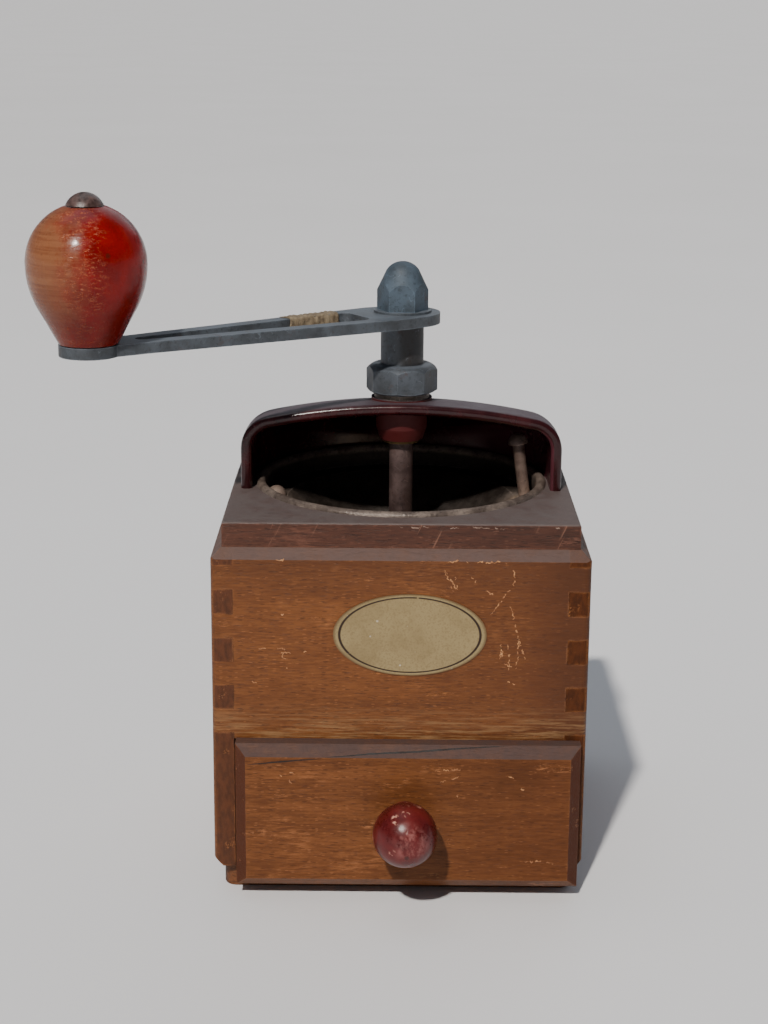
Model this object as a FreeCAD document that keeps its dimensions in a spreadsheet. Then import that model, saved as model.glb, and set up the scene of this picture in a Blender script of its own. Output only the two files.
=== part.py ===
import FreeCAD, Part
import math
import operator
import os

import Sketcher

# Hand crank coffee grinder: a finger-jointed wooden case with a drawer, a moulded hood over the
# bean hopper, a conical burr set on a vertical shaft, and a crank with a turned wooden knob.
# The origin is the centre of the base's underside, +Z is up and the drawer opens towards -Y.

doc = FreeCAD.newDocument("coffee_grinder")

# Driving dimensions, in millimetres and degrees
DRIVING_SIZES = {
    # Wooden case
    "case_width": 120,
    "case_depth": 120,
    "wall_thickness": 7,
    "base_thickness": 8.5,
    "base_inset": 3,
    "base_corner_radius": 4,
    "base_edge_radius": 0.8,
    "wall_height": 107.5,
    "finger_height": 8,
    "top_finger_height": 5,
    "corner_radius": 2,
    "edge_chamfer": 3.2,
    "foot_chamfer": 3,
    "drawer_opening_height": 44.5,
    "top_board_thickness": 8,
    "top_board_inset": 3.5,
    "top_board_edge_radius": 0.8,
    "nail_radius": 0.8,
    "nail_head_radius": 1.5,
    "nail_head_thickness": 0.8,
    "nail_length": 22,
    "nail_edge_distance": 2.6,
    "nail_spacing": 42,
    "label_width": 48.6,
    "label_height": 27,
    "label_thickness": 0.4,
    "label_offset": 3,
    "label_centre_height": 88.5,
    # Drawer
    "drawer_front_width": 110.4,
    "drawer_front_height": 48.7,
    "drawer_front_thickness": 8,
    "drawer_front_bottom": 4.6,
    "drawer_front_shift": 2.8,
    "drawer_front_chamfer": 3.4,
    "drawer_front_gap": 0.2,
    "drawer_side_clearance": 1,
    "drawer_floor_gap": 0.3,
    "drawer_wall_thickness": 5,
    "drawer_bottom_thickness": 3,
    "drawer_side_height": 37,
    "drawer_length": 104,
    "drawer_knob_radius": 10.2,
    "drawer_knob_neck_radius": 6.2,
    "drawer_knob_reach": 12,
    "drawer_knob_height": 29,
    "drawer_knob_offset": 2,
    "drawer_screw_radius": 2,
    "drawer_screw_head_radius": 4,
    "drawer_screw_head_thickness": 2.2,
    "drawer_screw_length": 17,
    # Hopper bowl
    "bowl_rim_radius": 49.3,
    "bowl_rim_height": 1.5,
    "bowl_neck_radius": 46,
    "bowl_sheet": 1.2,
    "bowl_seat_depth": 5.7,
    "bowl_seat_radius": 38.5,
    "bowl_throat_radius": 21,
    "bowl_cone_height": 17.3,
    "bowl_spigot_length": 5,
    "bowl_fit_gap": 0.2,
    # Hood
    "hood_half_width": 53.5,
    "hood_height": 28.9,
    "hood_wall": 3.7,
    "hood_reach": 14,
    "hood_corner_radius": 11,
    "hood_crown_radius": 220,
    "hood_back_radius": 130,
    "hood_cut_margin": 30,
    "hood_lip_radius": 1.5,
    "hood_pad_radius": 10.2,
    "hood_pad_height": 0.3,
    "hood_boss_radius": 8.6,
    "hood_boss_tip_radius": 7.2,
    "hood_boss_depth": 10.4,
    "hood_boss_taper_height": 4,
    "hood_screw_radius": 1.2,
    "hood_screw_depth": 9,
    "hood_screw_head_radius": 2.8,
    "hood_screw_head_thickness": 1.8,
    "hood_screw_near_spread": 28,
    "hood_screw_far_spread": 70,
    # Mechanism below the hopper
    "bolt_circle_radius": 42.4,
    "bolt_radius": 2,
    "bolt_length": 32,
    "bolt_head_radius": 3.4,
    "bolt_hole_gap": 0.03,
    "loose_bolt_rise": 19.6,
    "loose_bolt_lean": 8,
    "mechanism_nut_flats": 7,
    "mechanism_nut_height": 3.2,
    "housing_outer_radius": 28.5,
    "housing_overlap": 2,
    "housing_ear_thickness": 6,
    "housing_ear_width": 13,
    "housing_lip_radius": 20.5,
    "housing_lip_height": 4,
    "burr_ring_radius": 24,
    "burr_ring_height": 30,
    "burr_top_gap": 1,
    "burr_throat_radius": 17.6,
    "burr_mouth_radius": 21,
    "burr_fine_height": 6,
    "burr_fine_flare": 1.4,
    "burr_gap": 0.7,
    "burr_tooth_depth": 1.3,
    "burr_fine_tooth_depth": 0.7,
    "burr_coarse_turn": 38,
    "burr_fine_turn": 10,
    "cone_tip_radius": 8.5,
    "cone_hub_radius": 6.8,
    "cone_hub_height": 4,
    "cone_pin_radius": 1,
    "bridge_width": 12,
    "bridge_thickness": 4,
    "bridge_screw_spacing": 49.4,
    "bridge_screw_radius": 1.8,
    "bridge_screw_head_radius": 3.4,
    "bridge_screw_head_height": 2,
    "bridge_screw_length": 7.6,
    # Shaft and crank
    "running_clearance": 0.05,
    "fit_clearance": 0.02,
    "cutter_margin": 0.2,
    "shaft_radius": 4,
    "shaft_square": 5.6,
    "shaft_square_below_arm": 1.5,
    "shaft_square_below_top": 0.2,
    "shaft_thread_radius": 2.6,
    "shaft_thread_length": 8.4,
    "journal_radius": 3,
    "journal_overhang": 2.5,
    "bush_radius": 5.6,
    "bush_flange_radius": 6.4,
    "bush_flange_thickness": 0.9,
    "thrust_washer_radius": 9.3,
    "thrust_washer_thickness": 1.75,
    "adjuster_flats": 22.2,
    "adjuster_turn": 38,
    "adjuster_height": 9.7,
    "adjuster_shoulder_radius": 8,
    "adjuster_shoulder_height": 2.6,
    "adjuster_shoulder_curve": 5,
    "adjuster_chamfer_width": 1.8,
    "adjuster_chamfer_height": 1,
    "adjuster_neck_radius": 7.2,
    "adjuster_neck_length": 13.6,
    "arm_length": 115.1,
    "arm_direction": 214.4,
    "arm_thickness": 3.5,
    "arm_eye_radius": 12.6,
    "arm_wide_half": 13.6,
    "arm_wide_at": 7,
    "arm_narrow_half": 7.2,
    "arm_narrow_at": 99,
    "arm_disc_radius": 9.2,
    "arm_slot_start": 17,
    "arm_slot_end": 97,
    "arm_bar_width": 5,
    "arm_slot_corner": 3,
    "wrap_start": 20,
    "wrap_length": 21,
    "wrap_thickness": 0.5,
    "arm_washer_radius": 9.6,
    "arm_washer_thickness": 0.8,
    "cap_nut_flats": 14.8,
    "cap_nut_turn": 58,
    "cap_nut_hex_height": 6.2,
    "cap_nut_height": 16,
    "cap_nut_shoulder_radius": 5.4,
    "cap_nut_shoulder_height": 13.2,
    "cap_nut_dome_radius": 6.2,
    "cap_nut_end_gap": 2,
    "knob_base_gap": 0.3,
    "knob_base_radius": 9.1,
    "knob_flank_radius": 14.1,
    "knob_flank_height": 9.3,
    "knob_radius": 18.2,
    "knob_widest_height": 24,
    "knob_height": 41,
    "knob_top_radius": 6.4,
    "spindle_radius": 3,
    "spindle_cap_radius": 5.7,
    "spindle_cap_height": 3.9,
    "spindle_cap_gap": 0.3,
    "spindle_rivet_radius": 5,
    "spindle_rivet_height": 1.4,
}

# Counts that are no lengths
ADJUSTER_SIDES = 8
HEX_SIDES = 6
COARSE_TEETH = 7
FINE_TEETH = 24

# Share of a burr tooth's pitch that its steep face takes
TOOTH_FACE = 0.3

# Two places closer than this, in millimetres, are the same
SAME_PLACE = 1e-4

sheet = doc.addObject("Spreadsheet::Sheet", "Sizes")
for row, (alias, number) in enumerate(DRIVING_SIZES.items(), start=1):
    sheet.set(f"A{row}", alias)
    sheet.set(f"B{row}", str(number))
    sheet.setAlias(f"B{row}", alias)
doc.recompute()


class Size:
    """A length with its number and the formula that ties it to the sheet."""

    def __init__(self, number, formula):
        self.number = number
        self.formula = formula

    def __add__(self, other):
        return joined(self, "+", other)

    def __sub__(self, other):
        return joined(self, "-", other)

    def __mul__(self, other):
        return joined(self, "*", other)

    def __truediv__(self, other):
        return joined(self, "/", other)

    def __neg__(self):
        return Size(-self.number, f"(-1 * {self.formula})")


SIGNS = {"+": operator.add, "-": operator.sub, "*": operator.mul, "/": operator.truediv}


def as_size(value):
    if isinstance(value, Size):
        return value
    return Size(value, f"({value!r})")


def joined(first, sign, second):
    second = as_size(second)
    number = SIGNS[sign](first.number, second.number)
    return Size(number, f"({first.formula} {sign} {second.formula})")


def root_of(value):
    return Size(math.sqrt(value.number), f"sqrt({value.formula})")


def cosine(angle):
    return Size(math.cos(math.radians(angle.number)), f"cos({angle.formula})")


def sine(angle):
    return Size(math.sin(math.radians(angle.number)), f"sin({angle.formula})")


def size(alias):
    return Size(float(sheet.get(alias)), f"Sizes.{alias}")


def bind(feature, name, value):
    feature.setExpression(name, as_size(value).formula)


def place(feature, x=0, y=0, z=0):
    for axis, value in (("x", x), ("y", y), ("z", z)):
        bind(feature, f"Placement.Base.{axis}", value)
    return feature


# Bodies made of sketches
def new_body(label):
    body = doc.addObject("PartDesign::Body", label)
    body.Label = label
    return body


def new_sketch(body, role, offset=0):
    plane = next(item for item in body.Origin.OriginFeatures if item.Role == role)
    sketch = body.newObject("Sketcher::SketchObject", f"{body.Label}_sketch")
    sketch.AttachmentSupport = [(plane, "")]
    sketch.MapMode = "FlatFace"
    bind(sketch, "AttachmentOffset.Base.z", offset)
    return sketch


def fix_point(sketch, curve, end, x, y):
    """Ties one end of a sketch curve to its distance from the sketch's origin."""
    for kind, value, axis in (("DistanceX", as_size(x), -2), ("DistanceY", as_size(y), -1)):
        if abs(value.number) < 1e-9:
            sketch.addConstraint(Sketcher.Constraint("PointOnObject", curve, end, axis))
            continue
        ends = [(-1, 1), (curve, end)]
        if value.number < 0:
            ends.reverse()
            value = -value
        index = sketch.addConstraint(Sketcher.Constraint(kind, *ends[0], *ends[1], value.number))
        bind(sketch, f"Constraints[{index}]", value)


def arc_between(start, finish, radius):
    """A minor arc between two points: a positive radius turns left on the way, a negative one right."""
    chord = finish - start
    half = chord.Length / 2
    to_left = FreeCAD.Vector(-chord.y, chord.x, 0).normalize()
    rise = math.sqrt(max(radius * radius - half * half, 0))
    centre = (start + finish) / 2 + to_left * math.copysign(rise, radius)
    first, last = (start, finish) if radius > 0 else (finish, start)
    angles = [math.atan2(point.y - centre.y, point.x - centre.x) for point in (first, last)]
    circle = Part.Circle(centre, FreeCAD.Vector(0, 0, 1), abs(radius))
    return Part.ArcOfCircle(circle, angles[0], angles[1])


def outline(sketch, corners):
    """A closed loop. A corner with a third item is reached by an arc of that radius."""
    corners = [tuple(as_size(value) for value in corner) for corner in corners]
    points = [FreeCAD.Vector(corner[0].number, corner[1].number, 0) for corner in corners]
    curves = []
    for index, corner in enumerate(corners):
        start = points[index - 1]
        finish = points[index]
        if len(corner) == 2:
            curve = sketch.addGeometry(Part.LineSegment(start, finish), False)
            curves.append((curve, 1, 2))
            continue
        radius = corner[2]
        curve = sketch.addGeometry(arc_between(start, finish, radius.number), False)
        curves.append((curve, 1, 2) if radius.number > 0 else (curve, 2, 1))
        bound = sketch.addConstraint(Sketcher.Constraint("Radius", curve, abs(radius.number)))
        bind(sketch, f"Constraints[{bound}]", radius if radius.number > 0 else -radius)
    for index, (curve, first, last) in enumerate(curves):
        following, following_first, _ = curves[(index + 1) % len(curves)]
        sketch.addConstraint(Sketcher.Constraint("Coincident", curve, last, following, following_first))
        fix_point(sketch, curve, last, corners[index][0], corners[index][1])


def rectangle(sketch, left, right, low, high):
    outline(sketch, [(left, low), (right, low), (right, high), (left, high)])


def circle(sketch, x, y, radius):
    centre = FreeCAD.Vector(as_size(x).number, as_size(y).number, 0)
    curve = sketch.addGeometry(Part.Circle(centre, FreeCAD.Vector(0, 0, 1), as_size(radius).number), False)
    bound = sketch.addConstraint(Sketcher.Constraint("Radius", curve, as_size(radius).number))
    bind(sketch, f"Constraints[{bound}]", radius)
    fix_point(sketch, curve, 3, x, y)


def corner_radius_of(flats, sides):
    return flats / (2 * math.cos(math.pi / sides))


def polygon(sketch, flats, sides, turn):
    """A regular polygon of the given width across flats, turned by an angle in degrees."""
    corner_radius = corner_radius_of(flats, sides)
    corners = []
    for index in range(sides):
        angle = turn + (360 / sides) * index
        corners.append((corner_radius * cosine(angle), corner_radius * sine(angle)))
    outline(sketch, corners)


def pad(body, sketch, length):
    feature = body.newObject("PartDesign::Pad", f"{body.Label}_pad")
    feature.Profile = sketch
    bind(feature, "Length", length)
    doc.recompute()
    return feature


def pocket(body, sketch, depth=None, reverse=False):
    """Cuts against the sketch's normal, or along it when reversed; without a depth it goes through."""
    before = body.Tip.Shape.Volume
    feature = body.newObject("PartDesign::Pocket", f"{body.Label}_pocket")
    feature.Profile = sketch
    feature.Reversed = reverse
    if depth is None:
        feature.Type = "ThroughAll"
    else:
        bind(feature, "Length", depth)
    doc.recompute()
    if feature.Shape.Volume >= before:
        raise RuntimeError(f"a cut in {body.Label} removed nothing")
    return feature


def turned(body, sketch, angle=360, cut=False, reverse=False, axis="V_Axis"):
    """Turns a sketch about its own upright axis, or about another that is named."""
    kind = "PartDesign::Groove" if cut else "PartDesign::Revolution"
    before = body.Tip.Shape.Volume if cut else 0
    feature = body.newObject(kind, f"{body.Label}_turned")
    feature.Profile = sketch
    feature.ReferenceAxis = (sketch, [axis])
    feature.Angle = angle
    feature.Reversed = reverse
    doc.recompute()
    if cut and feature.Shape.Volume >= before:
        raise RuntimeError(f"a groove in {body.Label} removed nothing")
    return feature


def repeated_down(body, feature, sketch, spacing, count):
    """Repeats a feature down the sketch's vertical axis."""
    pattern = body.newObject("PartDesign::LinearPattern", f"{body.Label}_pattern")
    pattern.Originals = [feature]
    pattern.Direction = (sketch, ["V_Axis"])
    pattern.Reversed = True
    bind(pattern, "Length", spacing * (count - 1))
    pattern.Occurrences = count
    body.Tip = pattern
    doc.recompute()
    return pattern


def edges_at(body, **places):
    """Names of the edges whose every vertex lies at the given x, y or z."""
    names = []
    for index, edge in enumerate(body.Tip.Shape.Edges, start=1):
        offsets = []
        for axis, at in places.items():
            offsets += [abs(getattr(vertex.Point, axis) - as_size(at).number) for vertex in edge.Vertexes]
        if max(offsets) < SAME_PLACE:
            names.append(f"Edge{index}")
    return names


def dressed(body, kind, edges, amount):
    """Rounds or bevels edges of the body's last feature."""
    base = body.Tip
    feature = body.newObject(f"PartDesign::{kind}", f"{body.Label}_{kind.lower()}")
    feature.Base = (base, edges)
    bind(feature, "Radius" if kind == "Fillet" else "Size", amount)
    doc.recompute()
    return feature


# Plain solids and their joins
def block(name, low, high):
    solid = doc.addObject("Part::Box", name)
    for side, first, last in zip(("Length", "Width", "Height"), low, high):
        bind(solid, side, as_size(last) - first)
    return place(solid, *low)


def rod(name, radius, length, x=0, y=0, z=0):
    solid = doc.addObject("Part::Cylinder", name)
    bind(solid, "Radius", radius)
    bind(solid, "Height", length)
    return place(solid, x, y, z)


def merged(name, solids):
    fusion = doc.addObject("Part::MultiFuse", name)
    fusion.Shapes = solids
    return fusion


def without(name, base, tool):
    cut = doc.addObject("Part::Cut", name)
    cut.Base = base
    cut.Tool = tool
    return cut


def grouped(name, solids):
    group = doc.addObject("Part::Compound", name)
    group.Links = solids
    return group


parts = []


def keep(feature, label):
    feature.Label = label
    parts.append(feature)
    return feature


# Heights and half widths that several pieces share
half_width = size("case_width") / 2
half_depth = size("case_depth") / 2
wall = size("wall_thickness")
inner_half_width = half_width - wall
inner_half_depth = half_depth - wall
base_top = size("base_thickness")
case_top = base_top + size("wall_height")
board_top = case_top + size("top_board_thickness")
front_bottom = base_top + size("drawer_opening_height")
finger = size("finger_height")
first_tab_top = case_top - size("top_finger_height")

crown_top = board_top + size("hood_height")
pad_top = crown_top + size("hood_pad_height")
washer_top = pad_top + size("thrust_washer_thickness")
adjuster_bottom = washer_top + size("running_clearance")
adjuster_top = adjuster_bottom + size("adjuster_height")
neck_top = adjuster_top + size("adjuster_neck_length")
arm_bottom = neck_top + size("running_clearance")
arm_top = arm_bottom + size("arm_thickness")
cap_bottom = arm_top + size("arm_washer_thickness")


def count_of_fingers(height):
    """Fingers of a side panel that a front or back panel of this height leaves room for."""
    run = height.number - size("top_finger_height").number + finger.number
    return int(run / (2 * finger.number)) + 1


def count_of_tabs(height):
    run = height.number - size("top_finger_height").number
    return int(run / (2 * finger.number)) + 1


# Wooden case
def make_face_panel(label, inner_face, outer_face, bottom, toward_back):
    """The front or back panel: a board whose ends are notched for the side panels' fingers."""
    body = new_body(label)
    board = new_sketch(body, "XZ_Plane", -outer_face if toward_back else -inner_face)
    rectangle(board, -half_width, half_width, bottom, case_top)
    pad(body, board, wall)
    notch = new_sketch(body, "XZ_Plane", -inner_face if toward_back else -outer_face)
    for left, right in ((-half_width, -inner_half_width), (inner_half_width, half_width)):
        rectangle(notch, left, right, first_tab_top, first_tab_top + finger)
    cut = pocket(body, notch)
    repeated_down(body, cut, notch, finger * 2, count_of_fingers(case_top - bottom))
    dressed(body, "Chamfer", edges_at(body, y=outer_face, z=case_top), size("edge_chamfer"))
    if toward_back:
        foot = edges_at(body, y=outer_face, z=bottom)
        foot += edges_at(body, x=half_width, z=bottom) + edges_at(body, x=-half_width, z=bottom)
        dressed(body, "Chamfer", foot, size("foot_chamfer"))
    corners = edges_at(body, x=half_width, y=outer_face) + edges_at(body, x=-half_width, y=outer_face)
    dressed(body, "Fillet", corners, size("corner_radius"))
    return body


def make_side_panel(label, side):
    """A side panel with notches for the tabs of the front and back panels."""
    body = new_body(label)
    outer = half_width if side > 0 else -half_width
    board = new_sketch(body, "YZ_Plane", inner_half_width if side > 0 else -half_width)
    rectangle(board, -half_depth, half_depth, base_top, case_top)
    pad(body, board, wall)
    nail_holes = new_sketch(body, "XY_Plane", base_top)
    for x, y in nail_places():
        if x.number * side > 0:
            circle(nail_holes, x, y, size("nail_radius"))
    pocket(body, nail_holes, size("nail_length") - base_top, reverse=True)
    ends = (
        (-half_depth, -inner_half_depth, case_top - front_bottom),
        (inner_half_depth, half_depth, case_top - base_top),
    )
    for low, high, height in ends:
        notch = new_sketch(body, "YZ_Plane", half_width if side > 0 else -inner_half_width)
        rectangle(notch, low, high, first_tab_top - finger, first_tab_top)
        cut = pocket(body, notch)
        repeated_down(body, cut, notch, finger * 2, count_of_tabs(height))
    top = edges_at(body, x=outer, z=case_top)
    top += edges_at(body, y=half_depth, z=case_top) + edges_at(body, y=-half_depth, z=case_top)
    dressed(body, "Chamfer", top, size("edge_chamfer"))
    dressed(body, "Chamfer", edges_at(body, x=outer, z=base_top), size("foot_chamfer"))
    corners = edges_at(body, x=outer, y=half_depth) + edges_at(body, x=outer, y=-half_depth)
    dressed(body, "Fillet", corners, size("corner_radius"))
    return body


def make_base_board():
    body = new_body("base_board")
    square = new_sketch(body, "XY_Plane")
    reach_x = half_width - size("base_inset")
    reach_y = half_depth - size("base_inset")
    rectangle(square, -reach_x, reach_x, -reach_y, reach_y)
    pad(body, square, base_top)
    nail_holes = new_sketch(body, "XY_Plane")
    for x, y in nail_places():
        circle(nail_holes, x, y, size("nail_radius"))
    pocket(body, nail_holes, reverse=True)
    head_holes = new_sketch(body, "XY_Plane")
    for x, y in nail_places():
        circle(head_holes, x, y, size("nail_head_radius"))
    pocket(body, head_holes, size("nail_head_thickness"), reverse=True)
    corners = []
    for x in (-reach_x, reach_x):
        for y in (-reach_y, reach_y):
            corners += edges_at(body, x=x, y=y)
    dressed(body, "Fillet", corners, size("base_corner_radius"))
    dressed(body, "Fillet", edges_at(body, z=0, x=reach_x), size("base_edge_radius"))
    return body


def nail_places():
    """Nails through the base board into the side panels."""
    x = half_width - size("base_inset") - size("nail_edge_distance")
    spacing = size("nail_spacing")
    return [(reach, y) for reach in (x, -x) for y in (-spacing, as_size(0), spacing)]


def make_top_board():
    body = new_body("top_board")
    square = new_sketch(body, "XY_Plane", case_top)
    reach_x = half_width - size("top_board_inset")
    reach_y = half_depth - size("top_board_inset")
    rectangle(square, -reach_x, reach_x, -reach_y, reach_y)
    circle(square, 0, 0, bowl_neck_outer + size("bowl_fit_gap"))
    pad(body, square, size("top_board_thickness"))
    screw_holes = new_sketch(body, "XY_Plane", board_top)
    for x, y in hood_screw_places():
        circle(screw_holes, x, y, size("hood_screw_radius"))
    pocket(body, screw_holes)
    rim = edges_at(body, x=reach_x, z=board_top) + edges_at(body, x=-reach_x, z=board_top)
    rim += edges_at(body, y=reach_y, z=board_top) + edges_at(body, y=-reach_y, z=board_top)
    dressed(body, "Fillet", rim, size("top_board_edge_radius"))
    return body


# Hopper bowl
bowl_sheet = size("bowl_sheet")
bowl_neck_outer = size("bowl_neck_radius") + bowl_sheet
seat_top = board_top - size("bowl_seat_depth")
cone_bottom = seat_top - size("bowl_cone_height")
spigot_bottom = cone_bottom - size("bowl_spigot_length")
lean = size("loose_bolt_lean")
lean_slope = sine(lean) / cosine(lean)
seat_hole_radius = size("bolt_radius") / cosine(lean) + bowl_sheet / 2 * lean_slope + size("bolt_hole_gap")


def dome_radius(half_chord, rise):
    """Radius of an arc over a chord, from its rise."""
    return (half_chord * half_chord + rise * rise) / (rise * 2)


def make_hopper_bowl():
    """A spun sheet bowl: a bead over the board, a seat for the bolts and a cone down to the burrs."""
    body = new_body("hopper_bowl")
    profile = new_sketch(body, "XZ_Plane")
    rim = size("bowl_rim_radius")
    neck = size("bowl_neck_radius")
    seat = size("bowl_seat_radius")
    throat = size("bowl_throat_radius")
    bead = dome_radius((rim - neck) / 2, size("bowl_rim_height"))
    outline(profile, [
        (rim, board_top),
        (neck, board_top, bead),
        (neck, seat_top),
        (seat, seat_top),
        (throat, cone_bottom),
        (throat, spigot_bottom),
        (throat + bowl_sheet, spigot_bottom),
        (throat + bowl_sheet, cone_bottom),
        (seat + bowl_sheet / 2, seat_top - bowl_sheet),
        (neck + bowl_sheet, seat_top - bowl_sheet),
        (neck + bowl_sheet, board_top),
    ])
    turned(body, profile)
    holes = new_sketch(body, "XY_Plane", seat_top)
    for x in (size("bolt_circle_radius"), -size("bolt_circle_radius")):
        circle(holes, x, 0, seat_hole_radius)
    pocket(body, holes, bowl_sheet * 2)
    return body


# Moulded hood
STRAIGHT_BACK = as_size(90)


def hood_screw_places():
    """Screws from below into the hood's wall, in pairs to both sides of its back."""
    radius = size("hood_half_width") - size("hood_wall") / 2
    places = []
    for spread in (size("hood_screw_near_spread"), size("hood_screw_far_spread")):
        for angle in (STRAIGHT_BACK + spread, STRAIGHT_BACK - spread):
            places.append((radius * cosine(angle), radius * sine(angle)))
    return places


def is_roof_rim(edge):
    """True for an edge between the hood's upright wall and its roof, away from the open front."""
    front = -size("hood_reach").number
    heights = [vertex.Z for vertex in edge.Vertexes]
    depths = [vertex.Y for vertex in edge.Vertexes]
    lifted = min(heights) > board_top.number + SAME_PLACE
    return lifted and max(depths) > front + SAME_PLACE


def open_faces(shape):
    """Names of the hood's flat faces at its open front and on the board."""
    front = -size("hood_reach").number
    names = []
    for index, face in enumerate(shape.Faces, start=1):
        centre = face.CenterOfMass
        if abs(centre.y - front) < SAME_PLACE or abs(centre.z - board_top.number) < SAME_PLACE:
            names.append(f"Face{index}")
    return names


def make_hood():
    """A half-round shell under a roof that falls to its sides and back, with a boss for the shaft."""
    body = new_body("hood")
    half = size("hood_half_width")
    reach = size("hood_reach")
    shell = size("hood_wall")
    plan = new_sketch(body, "XY_Plane", board_top)
    outline(plan, [(-half, -reach), (half, -reach), (half, 0), (0, half, half), (-half, 0, half)])
    pad(body, plan, size("hood_height"))
    across = size("hood_crown_radius")
    backward = size("hood_back_radius")
    margin = size("hood_cut_margin")
    beyond = half + margin
    edge_height = backward - across + root_of(across * across - beyond * beyond)
    roof = new_sketch(body, "XZ_Plane", reach)
    bind(roof, "AttachmentOffset.Base.y", crown_top - backward)
    outline(roof, [
        (-beyond, edge_height, across),
        (-beyond, backward + margin),
        (beyond, backward + margin),
        (beyond, edge_height),
    ])
    turned(body, roof, cut=True, axis="H_Axis")
    rim = [edge for edge in range(len(body.Tip.Shape.Edges)) if is_roof_rim(body.Tip.Shape.Edges[edge])]
    dressed(body, "Fillet", [f"Edge{edge + 1}" for edge in rim], size("hood_corner_radius"))
    base = body.Tip
    hollow = body.newObject("PartDesign::Thickness", "hood_hollow")
    hollow.Base = (base, open_faces(base.Shape))
    hollow.Reversed = True
    bind(hollow, "Value", shell)
    doc.recompute()
    lip = edges_at(body, y=-reach)
    resting = edges_at(body, y=-reach, z=board_top)
    dressed(body, "Fillet", [edge for edge in lip if edge not in resting], size("hood_lip_radius"))
    boss = new_sketch(body, "XZ_Plane")
    boss_bottom = crown_top - shell - size("hood_boss_depth")
    boss_root = crown_top - shell
    bore = size("bush_radius")
    outline(boss, [
        (bore, boss_bottom),
        (size("hood_boss_tip_radius"), boss_bottom),
        (size("hood_boss_radius"), boss_bottom + size("hood_boss_taper_height")),
        (size("hood_boss_radius"), boss_root),
        (size("hood_pad_radius"), boss_root),
        (size("hood_pad_radius"), pad_top),
        (bore, pad_top),
    ])
    turned(body, boss)
    shaft_hole = new_sketch(body, "XY_Plane", pad_top)
    circle(shaft_hole, 0, 0, bore)
    pocket(body, shaft_hole)
    screw_holes = new_sketch(body, "XY_Plane", board_top)
    for x, y in hood_screw_places():
        circle(screw_holes, x, y, size("hood_screw_radius"))
    pocket(body, screw_holes, size("hood_screw_depth"), reverse=True)
    return body


def make_hood_screws():
    screws = []
    head = size("hood_screw_head_thickness")
    shank = size("top_board_thickness") + size("hood_screw_depth")
    for x, y in hood_screw_places():
        stem = rod("hood_screw_stem", size("hood_screw_radius"), shank, x, y, case_top)
        cap = rod("hood_screw_cap", size("hood_screw_head_radius"), head, x, y, case_top - head)
        screws.append(merged("hood_screw", [stem, cap]))
    return grouped("hood_screws", screws)


# Burrs and what carries them
housing_top = spigot_bottom + size("housing_overlap")
burr_top = spigot_bottom - size("burr_top_gap")
burr_bottom = burr_top - size("burr_ring_height")
housing_bottom = burr_bottom - size("housing_lip_height")
ear_bottom = housing_top - size("housing_ear_thickness")
ring_pocket_radius = size("burr_ring_radius") + size("fit_clearance")
bridge_screw_place = size("bridge_screw_spacing") / 2


def make_burr_housing():
    """A cast cup for the burr ring, with an ear on each side for the bolts from the hopper's seat."""
    body = new_body("burr_housing")
    cup = new_sketch(body, "XZ_Plane")
    outer = size("housing_outer_radius")
    lip = size("housing_lip_radius")
    outline(cup, [
        (lip, housing_bottom),
        (outer, housing_bottom),
        (outer, housing_top),
        (ring_pocket_radius, housing_top),
        (ring_pocket_radius, burr_bottom),
        (lip, burr_bottom),
    ])
    turned(body, cup)
    ears = new_sketch(body, "XY_Plane", ear_bottom)
    root = (ring_pocket_radius + outer) / 2
    half = size("housing_ear_width") / 2
    reach = size("bolt_circle_radius")
    tip = reach + half
    outline(ears, [(root, -half), (reach, -half), (tip, 0, half), (reach, half, half), (root, half)])
    outline(ears, [(-root, half), (-reach, half), (-tip, 0, half), (-reach, -half, half), (-root, -half)])
    pad(body, ears, size("housing_ear_thickness"))
    bolt_holes = new_sketch(body, "XY_Plane", housing_top)
    for x in (reach, -reach):
        circle(bolt_holes, x, 0, size("bolt_radius") + size("running_clearance"))
    pocket(body, bolt_holes, size("housing_ear_thickness"))
    screw_holes = new_sketch(body, "XY_Plane", housing_bottom)
    for x in (bridge_screw_place, -bridge_screw_place):
        circle(screw_holes, x, 0, size("bridge_screw_radius") + size("fit_clearance"))
    pocket(body, screw_holes, size("bridge_screw_length") - size("bridge_thickness"), reverse=True)
    return body


def toothed_loop(height, tip_radius, valley_radius, teeth, turn):
    """A closed saw-toothed loop: each tooth rises steeply to its tip and falls away slowly."""
    pitch = 2 * math.pi / teeth
    points = []
    for tooth in range(teeth):
        start = math.radians(turn) + pitch * tooth
        for radius, angle in ((tip_radius, start), (valley_radius, start + pitch * TOOTH_FACE)):
            points.append(FreeCAD.Vector(radius * math.cos(angle), radius * math.sin(angle), height))
    return Part.makePolygon(points + points[:1])


def spiral_solid(low, high, teeth, turn, steps):
    """Teeth that wind between two levels, each given as its height, tip radius and valley radius."""
    loops = []
    for step in range(steps + 1):
        share = step / steps
        level = [first + (last - first) * share for first, last in zip(low, high)]
        loops.append(toothed_loop(*level, teeth, turn * share))
    return Part.makeLoft(loops, True, True)


def burr_levels(direction, tip_offset, top_radius):
    """Bottom, waist and top of a toothed cone; the valleys lie to the given side of the tips."""
    fine = size("burr_fine_tooth_depth").number * direction
    coarse = size("burr_tooth_depth").number * direction
    waist_radius = size("burr_throat_radius").number - tip_offset
    bottom_radius = waist_radius + size("burr_fine_flare").number
    waist = burr_bottom.number + size("burr_fine_height").number
    return (
        (burr_bottom.number, bottom_radius, bottom_radius + fine),
        (waist, waist_radius, waist_radius + fine),
        (waist, waist_radius, waist_radius + coarse),
        (burr_top.number, top_radius, top_radius + coarse),
    )


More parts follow.
